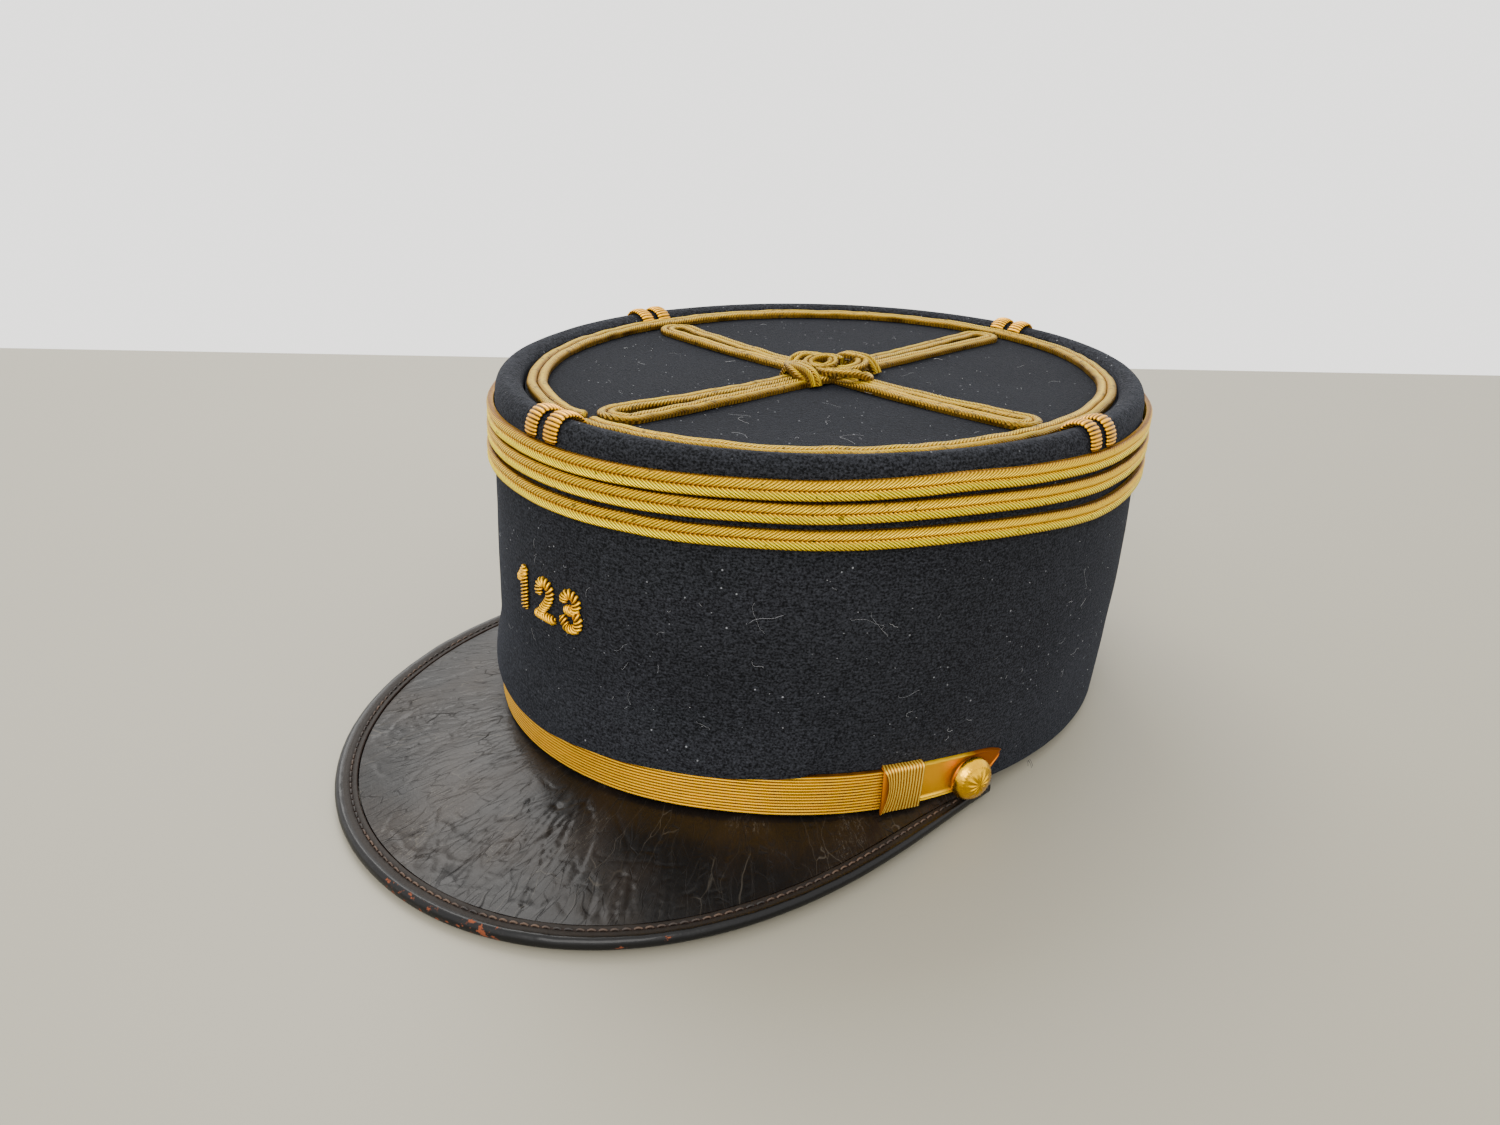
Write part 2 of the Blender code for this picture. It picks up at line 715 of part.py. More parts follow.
def make_numerals(parent):
    """Three raised numerals on the front, each one body made of two joined strokes."""
    middle = (len(NUMERAL_STROKES) - 1) / 2.0
    for place, (digit, strokes) in enumerate(NUMERAL_STROKES.items()):
        angle = angle_after(0.0, NUMERAL_RISE, (place - middle) * NUMERAL_PITCH)
        frame = wall_frame(angle, NUMERAL_RISE, FIT_GAP)
        pieces = []
        for number, stroke in enumerate(strokes):
            name = f"numeral_{digit}" if number == 0 else f"numeral_{digit}_stroke"
            rows = [[frame @ point for point in row] for row in stroke_rows(stroke)]
            pieces.append(add_object(name, *sweep(rows, closed=False), "bullion", parent))
        first, second = pieces
        join = first.modifiers.new("join strokes", "BOOLEAN")
        join.operation = "UNION"
        join.solver = "EXACT"
        join.object = second
        second.hide_render = True
        second.display_type = "WIRE"


def rest_tilt(binding):
    """Tilt that lets the rear of the crown and the lowest part of the peak both touch down."""
    rear = 0.5 * BASE_LENGTH
    return max(math.atan2(-v.co.z, rear - v.co.y) for v in binding.data.vertices)


def lay_down(cap, binding):
    """Tip the cap on to its resting points and centre its box over the origin."""
    tilt = rest_tilt(binding)
    cap.rotation_euler = (-tilt, 0.0, 0.0)
    bpy.context.view_layer.update()
    places = [thing.matrix_world @ v.co for thing in cap.children if not thing.hide_render
              for v in thing.data.vertices]
    lengths = [place.y for place in places]
    lowest = min(place.z for place in places)
    cap.location = (0.0, -0.5 * (min(lengths) + max(lengths)), -lowest)
    bpy.context.view_layer.update()


def build():
    """Make every piece, then lay the cap down."""
    clear_scene()
    cap = bpy.data.objects.new("cap", None)
    bpy.context.collection.objects.link(cap)
    make_crown_side(cap)
    make_crown_top(cap)
    make_rank_braids(cap)
    make_top_ring(cap)
    make_rim_cords(cap)
    make_knot_arms(cap)
    make_knot_centre(cap)
    make_peak(cap)
    binding = make_peak_binding(cap)
    make_strap(cap)
    for side, sign in (("left", 1.0), ("right", -1.0)):
        make_strap_tab(side, sign, cap)
        make_keeper(side, sign, cap)
        make_button(side, sign, cap)
    make_numerals(cap)
    lay_down(cap, binding)


build()
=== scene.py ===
# %% [markdown]
# # The looks of a kepi
# The part is already built in CAD, and this script dresses it: finer meshes in place of the plain
# solids, a procedural material on every surface, a floor, light and a camera. The first cell loads
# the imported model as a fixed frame, so that every new piece lands exactly where the CAD says.
# %% Load the frame
import json
import math

import bmesh
import bpy
import numpy as np
from mathutils import Matrix, Vector, noise


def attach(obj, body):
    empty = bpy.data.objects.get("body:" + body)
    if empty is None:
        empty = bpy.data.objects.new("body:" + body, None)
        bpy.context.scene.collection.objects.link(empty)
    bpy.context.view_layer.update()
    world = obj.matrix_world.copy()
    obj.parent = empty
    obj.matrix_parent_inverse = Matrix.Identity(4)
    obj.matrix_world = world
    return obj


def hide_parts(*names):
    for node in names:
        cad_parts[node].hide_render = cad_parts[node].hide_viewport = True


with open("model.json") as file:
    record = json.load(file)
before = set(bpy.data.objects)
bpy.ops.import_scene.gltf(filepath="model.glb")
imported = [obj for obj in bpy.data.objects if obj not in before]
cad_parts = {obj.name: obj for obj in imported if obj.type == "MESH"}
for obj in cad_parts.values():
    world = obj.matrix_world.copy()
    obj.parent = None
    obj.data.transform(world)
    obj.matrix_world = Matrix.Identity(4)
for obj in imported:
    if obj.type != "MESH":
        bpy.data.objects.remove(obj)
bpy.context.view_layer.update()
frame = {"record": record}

# %% [markdown]
# ## Sizes
# The cap's own sizes are repeated here in metres, because this script can't read the CAD source.
# Places on the crown are an angle from the front, positive towards the wearer's left, a height
# above the crown's lower edge and a distance outside the cloth.
# %% The crown's sizes
FIT_GAP = 0.0003
BASE_LENGTH, BASE_WIDTH = 0.2030, 0.1724
TOP_LENGTH, TOP_WIDTH = 0.2030, 0.1732
CROWN_HEIGHT = 0.0945
REAR_FULLNESS = 0.025
WALL_BARREL = 0.0013
CLOTH_WALL = 0.0025
ROLL_WIDTH, ROLL_CREST, ROLL_HEIGHT, LIP_DEPTH = 0.0076, 0.0030, 0.0046, 0.0062
TOP_SINK, TOP_DISH, TOP_CLOTH = 0.0034, 0.0016, 0.0020


def crown_size(height):
    """Half length and half width of the crown's outside at a height."""
    share = np.asarray(height, float) / CROWN_HEIGHT
    half_length = 0.5 * (BASE_LENGTH + (TOP_LENGTH - BASE_LENGTH) * share)
    half_width = 0.5 * (BASE_WIDTH + (TOP_WIDTH - BASE_WIDTH) * share)
    return half_length, half_width


def crown_point(angle, height, out=0.0):
    """Points on the crown's outside, or a distance outside it, and the level direction outwards."""
    t, height, out = np.broadcast_arrays(np.radians(angle), height, out)
    a, b = crown_size(height)
    y = -a * np.cos(t)
    x = b * np.sin(t) * (1.0 + REAR_FULLNESS * y / a)
    along_y = a * np.sin(t)
    along_x = b * (np.cos(t) * (1.0 + REAR_FULLNESS * y / a) + REAR_FULLNESS * np.sin(t) ** 2)
    speed = np.hypot(along_x, along_y)
    out = out + WALL_BARREL * np.sin(np.pi * np.clip(height / CROWN_HEIGHT, 0.0, 1.0))
    outwards = np.stack([along_y / speed, -along_x / speed, np.zeros_like(t)], axis=-1)
    return np.stack([x, y, height], axis=-1) + outwards * out[..., None], outwards


def angle_after(angle, distance, height=0.0):
    """The angle reached by going a distance round the crown's side."""
    step = 0.25
    before, _ = crown_point(angle - step, height)
    after, _ = crown_point(angle + step, height)
    return angle + distance * 2.0 * step / np.linalg.norm(after - before)


def top_height(x, y):
    """Height of the sunken, slightly dished top cloth."""
    a, b = crown_size(CROWN_HEIGHT)
    reach = (x / (b - ROLL_WIDTH)) ** 2 + (y / (a - ROLL_WIDTH)) ** 2
    return CROWN_HEIGHT - TOP_SINK - TOP_DISH * (1.0 - np.minimum(1.0, reach))


print("Crown oval, mm:", 1000 * BASE_LENGTH, "by", 1000 * BASE_WIDTH)

# %% [markdown]
# ## From the cap's own frame to the table
# The cap is easiest to describe level, with its base oval round the Z axis. On the table it leans:
# it rests on the rear of the crown and on the tip of the peak. The record's mount lies on the
# crown's flat lower edge, so its place and its normal give that lean exactly.
# %% Work out how the cap lies
mount = frame["record"]["mounts"][0]
tilt = math.atan2(-mount["axis"][1], -mount["axis"][2])
CAP = Matrix.Rotation(-tilt, 4, "X")
rear_of_edge = Vector((0.0, 0.5 * (BASE_LENGTH - CLOTH_WALL), 0.0))
CAP.translation = Vector(mount["pos_m"]) - CAP @ rear_of_edge
print("Lean of the cap:", round(math.degrees(tilt), 2), "degrees")

# %% [markdown]
# ## The camera
# The photograph was taken from the wearer's front left, a little above the cap and close to it.
# The camera's place, heading, pitch and slight roll were solved from the photograph's outlines.
# A close wide lens gives the strong taper of the crown, so the distance matters as much as the lens.
# %% Place the camera
CAMERA_PLACE = Vector((0.20665, -0.21790, 0.18472))
CAMERA_AZIMUTH, CAMERA_PITCH, CAMERA_ROLL = (math.radians(x) for x in (43.983, 25.44, 1.0555))
CAMERA_LENS = 26.44

back = Vector((math.sin(CAMERA_AZIMUTH) * math.cos(CAMERA_PITCH),
               -math.cos(CAMERA_AZIMUTH) * math.cos(CAMERA_PITCH), math.sin(CAMERA_PITCH)))
level = Vector((math.cos(CAMERA_AZIMUTH), math.sin(CAMERA_AZIMUTH), 0.0))
upright = back.cross(level)
side = level * math.cos(CAMERA_ROLL) + upright * math.sin(CAMERA_ROLL)
up = back.cross(side)
camera = bpy.data.objects.new("photo_camera", bpy.data.cameras.new("photo_camera"))
bpy.context.scene.collection.objects.link(camera)
camera.matrix_world = Matrix((side, up, back)).transposed().to_4x4()
camera.matrix_world.translation = CAMERA_PLACE
camera.data.sensor_width = 36.0
camera.data.lens = CAMERA_LENS
camera.data.clip_start = 0.01
bpy.context.scene.camera = camera
print("Camera at", [round(x, 3) for x in camera.location])

# %% [markdown]
# ## Shader maths as Python
# A material is a tree of nodes. Written by hand, each sum needs a node and two links, so a small
# class wraps a socket and lets Python's own operators add those nodes.
# %% A socket that can be added, multiplied and compared


def operator(operation, reflected=False):
    """The method behind one of Python's operators; reflected when the number stands first."""

    def method(self, *other):
        values = (self, *other)
        return self.math(operation, *(reversed(values) if reflected else values))

    return method


class Value:
    """One output of a shader node, in a formula."""

    def __init__(self, finish, socket):
        self.finish = finish
        self.socket = socket

    def math(self, operation, *values):
        return self.finish.node("ShaderNodeMath", {"operation": operation}, values)

    __add__, __radd__ = operator("ADD"), operator("ADD", reflected=True)
    __sub__, __rsub__ = operator("SUBTRACT"), operator("SUBTRACT", reflected=True)
    __mul__, __rmul__ = operator("MULTIPLY"), operator("MULTIPLY", reflected=True)
    __truediv__, __pow__, __abs__ = operator("DIVIDE"), operator("POWER"), operator("ABSOLUTE")

    def wave(self):
        """A smooth wave from 0 to 1 that repeats each time the value grows by 1."""
        return 0.5 + 0.5 * self.math("SINE", self * (2.0 * math.pi))

    def above(self, edge, soft):
        """0 below an edge and 1 above it, turning over a soft width."""
        ramp = (self - (edge - 0.5 * soft)) / soft
        return ramp.math("SMOOTH_MIN", ramp.math("MAXIMUM", ramp, 0.0), 1.0, 0.05)


class Finish:
    """A material under construction: adds nodes and ends in one Principled shader."""

    def __init__(self, name, **constants):
        self.material = bpy.data.materials.new(name)
        self.material.use_nodes = True
        self.tree = self.material.node_tree
        self.shader = self.tree.nodes["Principled BSDF"]
        self.set(**constants)

    def node(self, kind, settings=None, values=(), output=0):
        """Any node: its type, its settings, and values or links by number or name of socket."""
        made = self.tree.nodes.new(kind)
        for name, setting in (settings or {}).items():
            if name == "stops":
                ramp = made.color_ramp.elements
                while len(ramp) < len(setting):
                    ramp.new(0.5)
                for stop, (place, colour) in zip(ramp, setting):
                    stop.position, stop.color = place, colour
            else:
                setattr(made, name, setting)
        pairs = values.items() if isinstance(values, dict) else enumerate(values)
        for socket, value in pairs:
            self.feed(made.inputs[socket], value)
        return Value(self, made.outputs[output])

    def feed(self, socket, value):
        if isinstance(value, Value):
            self.tree.links.new(value.socket, socket)
        else:
            socket.default_value = value

    def set(self, **values):
        """Feeds sockets of the Principled shader; in their names, _ stands for a space."""
        for socket, value in values.items():
            self.feed(self.shader.inputs[socket.replace("_", " ")], value)
        return self.material

    def blend(self, share, first, second):
        """A colour between two colours; a share past 0 or 1 counts as 0 or 1."""
        values = {0: share, 6: first, 7: second}
        return self.node("ShaderNodeMix", {"data_type": "RGBA"}, values, output=2)

    def place(self, size=1.0, on_map=False):
        """Coordinates on the piece, or on its map "along", divided by a size for each axis."""
        if on_map:
            start = self.node("ShaderNodeUVMap", {"uv_map": "along"})
        else:
            start = self.node("ShaderNodeTexCoord", output="Object")
        scale = tuple(1.0 / np.broadcast_to(size, 3))
        return self.node("ShaderNodeVectorMath", {"operation": "MULTIPLY"}, [start, scale])

    def along_across(self):
        """The two numbers of the map "along": along the piece in metres, and across it."""
        split = self.node("ShaderNodeSeparateXYZ", None, [self.place(on_map=True)])
        return [Value(self, socket) for socket in split.socket.node.outputs[:2]]

    def cloud(self, size, detail=2.0, roughness=0.5, on_map=False, output=0):
        """Noise from 0 to 1 with one swell for each size."""
        values = {"Vector": self.place(size, on_map), "Scale": 1.0, "Detail": detail,
                  "Roughness": roughness}
        return self.node("ShaderNodeTexNoise", None, values, output)

    def bump(self, height, distance, strength):
        """A normal from a height; distance is the real rise of 1, in metres."""
        values = {"Height": height, "Distance": distance, "Strength": strength}
        return self.node("ShaderNodeBump", None, values)


def paint(red, green, blue, light=1.0):
    """A colour as read off a screen, 0 to 255, in the linear numbers that shaders use."""
    parts = [x / 255.0 for x in (red, green, blue)]
    linear = [((x + 0.055) / 1.055) ** 2.4 if x > 0.04 else x / 12.92 for x in parts]
    return tuple(light * x for x in linear) + (1.0,)


print("Screen grey 128 is", round(paint(128, 128, 128)[0], 3), "in linear numbers")

# %% [markdown]
# ## Cloth
# The crown is a dense wool crepe, almost black, with a fine pebbled grain. Seen at a low angle its
# short nap catches the light and turns grey-blue, which is what the sheen of the shader is for.
# Grain smaller than a millimetre is left to bump, and the dust on it to small pale dots.
# %% Wool crepe


def make_cloth(name, lightness):
    """Blue-black wool crepe; lightness scales its colour."""
    cloth = Finish(name, Specular_IOR_Level=0.08, Sheen_Weight=0.06, Sheen_Roughness=0.42,
                   Sheen_Tint=paint(146, 156, 182))
    grain = cloth.cloud((0.00060, 0.00060, 0.00050), 2.0, 0.6)
    twill = cloth.cloud((0.0022, 0.0006, 1.0), 1.0, on_map=True)
    patches = cloth.cloud((0.035, 0.035, 0.030), 3.0)
    share = 0.30 + 2.3 * (grain - 0.5) + 0.8 * (twill - 0.5) + 0.40 * (patches - 0.5)
    colour = cloth.blend(share, paint(13, 14, 16, lightness), paint(60, 62, 68, lightness))
    cells = cloth.node("ShaderNodeTexVoronoi", None, {"Vector": cloth.place(0.0030), "Scale": 1.0})
    dust = (1.0 - cells.above(0.080, 0.04)) * cloth.cloud(0.0065, 0.0).above(0.54, 0.10)
    colour = cloth.blend(0.7 * dust, colour, paint(128, 130, 134))
    return cloth.set(Base_Color=colour, Roughness=0.88 + 0.1 * patches,
                     Normal=cloth.bump(0.9 * grain + 0.5 * twill, 0.00040, 1.0))


side_cloth = make_cloth("navy_crepe", 0.58)
# Painted shade: the top's copy of the crepe is made darker to offset the extra light on its upturned
# face.
shaded_top_cloth = make_cloth("navy_crepe_of_the_top_shaded_darker", 0.22)
print("Cloth finishes:", side_cloth.name, shaded_top_cloth.name)

# %% [markdown]
# ## Gold braid
# The braids are flat soutache: two cords side by side, bound by fine gold thread that leans one way
# on the upper cord and the other way on the lower one. A map named "along" on each mesh gives metres
# along the braid and the share across it, so one formula draws the chevrons on every braid.
# %% Gold thread
THREAD_PITCH = 0.00110


def make_braid_gold(name, shaded_tones, wear):
    """Two-ridged gold braid; its colour stops run from one edge to the other, with painted shade at both
    edges and in the groove.
    """
    gold = Finish(name, Metallic=0.84, Specular_IOR_Level=0.10)
    along, across = gold.along_across()
    from_groove = 2.0 * abs(across - 0.5)
    thread = (along / THREAD_PITCH - 3.0 * from_groove).wave()
    teeth = (along / (0.5 * THREAD_PITCH)).wave()
    strand = gold.cloud((0.0006, 0.22, 1.0), on_map=True)
    patches = gold.cloud((0.010, 0.010, 0.006), 3.0)
    specks = gold.cloud(0.0016)
    colour = gold.node("ShaderNodeValToRGB", {"stops": shaded_tones}, {"Fac": across})
    # Painted shade: the groove between the cords and the gaps between the binding threads are darkened.
    groove = 1.0 - from_groove.above(0.10, 0.14)
    colour = gold.blend(0.45 * groove * teeth, colour, paint(120, 76, 0))
    gaps = (1.0 - thread) ** 1.7 * (0.6 + 0.6 * strand)
    colour = gold.blend(0.90 * gaps, colour, paint(84, 46, 0))
    worn = patches.above(1.0 - wear, 0.18) * (0.3 + 0.6 * strand)
    colour = gold.blend(0.50 * worn, colour, paint(170, 130, 44))
    spots = specks.above(0.76 - 0.26 * wear, 0.05) * patches.above(0.48, 0.1)
    colour = gold.blend(0.7 * spots, colour, paint(62, 50, 26))
    return gold.set(Base_Color=colour, Roughness=0.30 + 0.20 * strand + 0.10 * patches,
                    Normal=gold.bump(0.9 * thread + 0.6 * strand, 0.00032, 1.0))


# Painted shade and painted highlight: the stops darken both edges and the groove and lighten the ridge
# crests.
rank_gold = make_braid_gold("rank_braid_gold", (
    (0.00, paint(100, 62, 0)), (0.10, paint(238, 188, 22)), (0.30, paint(255, 216, 44)),
    (0.46, paint(206, 148, 0)), (0.54, paint(255, 204, 0)), (0.66, paint(255, 236, 10)),
    (0.86, paint(255, 220, 10)), (1.00, paint(110, 70, 0))), wear=0.34)
# Painted shade: the knot's stops are nearly black at both edges and in the groove.
knot_gold = make_braid_gold("knot_braid_gold", (
    (0.00, paint(40, 28, 0)), (0.12, paint(146, 122, 0)), (0.30, paint(202, 176, 0)),
    (0.44, paint(138, 104, 0)), (0.50, paint(50, 34, 0)), (0.56, paint(138, 104, 0)),
    (0.72, paint(202, 176, 0)), (0.90, paint(144, 120, 0)), (1.00, paint(38, 26, 0))), wear=0.60)
print("Braid finishes:", rank_gold.name, knot_gold.name)

# %% [markdown]
# ## Wound cord and bullion
# The short cords over the rim are gold thread wound closely round a core and worn to a rusty brown.
# The numerals are bullion, a fine metal coil laid over padding. Their turns are real ridges in the
# mesh, so these finishes paint shade into what lies deep between the turns and roughen the rest.
# %% Wound thread


def make_wound_gold(name, bright, deep, metallic, patch_size):
    """Gold wire wound in turns, with painted shade between them; the share across the map is 1 on a turn
    and 0 between turns.
    """
    gold = Finish(name, Metallic=metallic, Specular_IOR_Level=0.10)
    _, turn = gold.along_across()
    patches = gold.cloud(patch_size)
    fine = gold.cloud(0.0004, 1.0)
    # Painted shade: between the turns the colour falls to the deep one; the patches shift it at random as
    # wear.
    share = 1.05 * turn + 0.6 * (patches - 0.5) + 0.35 * (fine - 0.5)
    return gold.set(Base_Color=gold.blend(share, deep, bright), Roughness=0.26 + 0.25 * patches,
                    Normal=gold.bump(fine, 0.00008, 0.6))


rim_gold = make_wound_gold("worn_rim_cord", paint(240, 172, 16), paint(30, 14, 0), 0.70, 0.003)
bullion = make_wound_gold("bullion", paint(246, 184, 4), paint(34, 16, 0), 0.80, 0.004)
print("Wound finishes:", rim_gold.name, bullion.name)

# %% [markdown]
# ## The strap's ribbon and the tab's leather
# The strap is a gold ribbon with fine ribs along it; the keepers are the same ribbon folded across.
# The ribs are in the mesh. The shader adds the thread's own lines, painted shade between the ribs
# and slow changes along the ribbon where it has been handled.
# %% Ribbed ribbon
RIBBON_RIBS = 13


def make_ribbon(name, deep, bright):
    """Ochre gold ribbon: deep between the ribs that run across the map as painted shade, bright on them.
    """
    ribbon = Finish(name, Metallic=0.80, Specular_IOR_Level=0.10)
    along, across = ribbon.along_across()
    rib = (across * RIBBON_RIBS - 0.25).wave()
    strand = ribbon.cloud((0.010, 0.018, 1.0), 3.0, on_map=True)
    cross = (along / 0.00042).wave()
    # Painted shade: the colour falls to the deep one between the ribs.
    colour = ribbon.blend(rib ** 1.5, deep, bright)
    colour = ribbon.blend(0.30 * strand.above(0.52, 0.2), colour, paint(190, 116, 0))
    colour = ribbon.blend(0.18 * ribbon.cloud(0.016), colour, paint(230, 158, 4))
    return ribbon.set(Base_Color=colour, Roughness=0.36 + 0.15 * strand,
                      Normal=ribbon.bump(0.5 * cross + strand, 0.00007, 0.7))


ribbon_gold = make_ribbon("strap_ribbon", paint(60, 24, 0), paint(255, 200, 30))
keeper_gold = make_ribbon("keeper_ribbon", paint(124, 60, 0), paint(255, 224, 90))

tab = Finish("tab_leather", Metallic=0.92, Specular_IOR_Level=0.08)
tab_along, tab_across = tab.along_across()
tab_fine = tab.cloud(0.0007, 3.0)
tab_patches = tab.cloud(0.004)
tab_colour = tab.blend(tab_patches, paint(222, 156, 0), paint(234, 170, 0))
tab_cords = 1.0 - (tab_across - 0.02).above(0.13, 0.05) + tab_across.above(0.93, 0.03)
tab_colour = tab.blend(0.8 * tab_cords, tab_colour, paint(255, 208, 24))
tab_end = (tab_along - 0.004 * tab_patches).above(0.0152, 0.003)
tab_colour = tab.blend(tab_end, tab_colour, paint(150, 82, 8))
tab_leather = tab.set(Base_Color=tab_colour, Roughness=0.40 + 0.15 * tab_fine,
                      Normal=tab.bump(tab_fine, 0.00008, 0.6))
print("Ribbon and tab finishes:", ribbon_gold.name, keeper_gold.name, tab_leather.name)

# %% [markdown]
# ## Leather of the peak
# The peak is varnished black leather. Years of bending have creased it from the crown outwards, and
# the varnish has fine cracks, pale scratches and a browner tone near the strap. The big creases are
# in the mesh. The map "along" gives metres round the crown and metres outwards, so the fine cracks
# can be stretched outwards too.
# %% Varnished leather
leather = Finish("varnished_leather", Specular_IOR_Level=0.17, Coat_Roughness=0.14, Coat_IOR=1.5)
wander = leather.cloud((0.009, 0.014, 1.0), on_map=True, output="Color")


def net(around, outward, width, shown):
    """1 on the lines of a net stretched outwards, else 0; only a share of the lines shows."""
    stretched = leather.place((around, outward, 1.0), on_map=True)
    cells = leather.node("ShaderNodeVectorMath", {"operation": "MULTIPLY_ADD"},
                         [wander, (1.2, 1.0, 0.0), stretched])
    edge = leather.node("ShaderNodeTexVoronoi", {"feature": "DISTANCE_TO_EDGE"},
                        {"Vector": cells, "Scale": 1.0})
    patch = leather.cloud((2.1 * around, 0.9 * outward, 1.0), on_map=True)
    return (1.0 - edge.above(width, 1.2 * width)) * patch.above(1.0 - shown, 0.16)


creases = net(0.0046, 0.0190, 0.014, 0.40)
cracks = net(0.0020, 0.0100, 0.022, 0.52)
pale = net(0.0050, 0.0300, 0.006, 0.50)
pebble = leather.cloud(0.0008)
patches = leather.cloud(0.022, 3.0)
rubbed = leather.cloud((0.0010, 0.0100, 1.0), 3.0, 0.6, on_map=True)
hair = 1.0 - 2.0 * abs(rubbed - 0.5)
scratch = (hair ** 16.0).above(0.90, 0.08) * patches.above(0.60, 0.06)
colour = leather.blend(patches.above(0.54, 0.3), paint(10, 9, 9), paint(24, 17, 11))
# Painted shade: the creases and cracks are darkened almost to black.
colour = leather.blend(0.7 * creases + 0.4 * cracks, colour, paint(3, 2, 2))
colour = leather.blend(0.5 * scratch, colour, paint(110, 106, 98))
colour = leather.blend(0.26 * pale, colour, paint(92, 86, 76))
rough = 0.33 + 0.18 * patches + 0.35 * creases + 0.25 * cracks + 0.2 * scratch
rise = 0.6 * pebble + 0.25 * patches - creases - 0.7 * cracks
peak_leather = leather.set(Base_Color=colour, Roughness=rough, Coat_Weight=0.08 - 0.08 * creases,
                           Normal=leather.bump(rise, 0.00014, 0.6))
print("Leather finish:", peak_leather.name)

# %% [markdown]
# ## Leather of the binding
# The edge of the peak is bound with a strip of leather, sewn down on top and rolled round the rim.
# Its flat part is dull brown-black, the roll is smoother, and at the front it is chipped down to
# brown leather. Each vertex of the mesh carries its wear, and noise breaks that up into chips.
# %% Bound edge
bound = Finish("binding_leather", Specular_IOR_Level=0.14, Coat_Roughness=0.12)
wear = bound.node("ShaderNodeAttribute", {"attribute_name": "wear"}, output="Fac")
_, across = bound.along_across()
chips = bound.cloud((0.0021, 0.0021, 0.0014), 4.0, 0.65)
fine = bound.cloud(0.0007, 3.0)
roll_part = across.above(0.66, 0.14)
colour = bound.blend(roll_part, paint(30, 26, 23), paint(6, 6, 7))
inner_edge = 1.0 - across.above(0.05, 0.04)
stitch_channel = 1.0 - abs(across - 0.30).above(0.055, 0.04)
colour = bound.blend(0.8 * inner_edge + 0.8 * stitch_channel, colour, paint(30, 17, 11))
chip = (chips + 0.40 * (wear - 1.0)).above(0.57, 0.05) * wear.above(0.05, 0.05)
binding_leather = bound.set(
    Base_Color=bound.blend(chip, colour, paint(104, 54, 32)),
    Roughness=0.56 - 0.18 * roll_part + 0.12 * fine + 0.3 * chip,
    Coat_Weight=0.16 * roll_part * (1.0 - chip),
    Normal=bound.bump(0.8 * fine + 0.8 * (1.0 - chip), 0.00018, 0.6))
print("Binding finish:", binding_leather.name)

# %% [markdown]
# ## Small finishes
# The buttons are gilt and a little rubbed, the stitches are waxed brown thread, lint is pale fluff,
# and loose ends are dark sewing thread. None of them is one flat colour.
# %% Gilt, stitches, lint and thread
gilt = Finish("gilt_button", Metallic=1.0)
patches = gilt.cloud(0.0025, 3.0)
colour = gilt.blend(patches, paint(186, 132, 0), paint(236, 184, 14))
gilt_metal = gilt.set(Base_Color=colour, Roughness=0.15 + 0.20 * patches,
                      Normal=gilt.bump(gilt.cloud(0.0006), 0.00010, 0.5))


def make_thread(name, size, first, second, roughness):
    """A dull thread or fluff that changes between two colours over a size."""
    thread = Finish(name, Roughness=roughness)
    return thread.set(Base_Color=thread.blend(thread.cloud(size, 1.0), first, second))


stitch = Finish("stitch_thread", Roughness=0.7)
stitch_share = stitch.cloud(0.012, 1.0).above(0.5, 0.2)
stitch_thread = stitch.set(Base_Color=stitch.blend(stitch_share, paint(20, 14, 11), paint(66, 48, 34)))
lint_fluff = make_thread("pale_lint", 0.008, paint(88, 92, 100), paint(162, 162, 162), 0.9)
sewing_thread = make_thread("dark_thread", 0.001, paint(30, 32, 38), paint(70, 68, 66), 0.85)
print("Small finishes:", gilt_metal.name, stitch_thread.name, lint_fluff.name, sewing_thread.name)

# %% [markdown]
# ## A mesh through rows of points
# Almost every piece here is a section carried along a line: braid, cord, ribbon, rim, peak. One
# helper turns a grid of points into such a mesh and gives it the map "along". Each row is a closed
# ring, and the rows either close into a loop or end in a flat cap, so every piece is a closed skin.
# %% Skin a grid


def unit(vectors):
    """The same directions with length 1."""
    return vectors / np.linalg.norm(vectors, axis=-1, keepdims=True)


def lengths(line):
    """Distance along a line at each of its points."""
    return np.concatenate([[0.0], np.cumsum(np.linalg.norm(np.diff(line, axis=0), axis=1))])


def points_at(line, distances):
    """Points of a line at some distances along it."""
    steps = lengths(line)
    return np.stack([np.interp(distances, steps, column) for column in line.T], axis=-1)


def swell(points, size, seed, height=1.0):
    """Smooth noise from about -1 to 1 at each point, with swells of a size in metres."""
    shape = np.shape(points)[:-1]
    flat = np.reshape(points, (-1, 3)) / size + np.array([seed * 7.3, seed * 3.1, seed * 5.7])
    values = [noise.noise(Vector(p)) for p in flat]
    return height * 1.6 * np.reshape(values, shape)


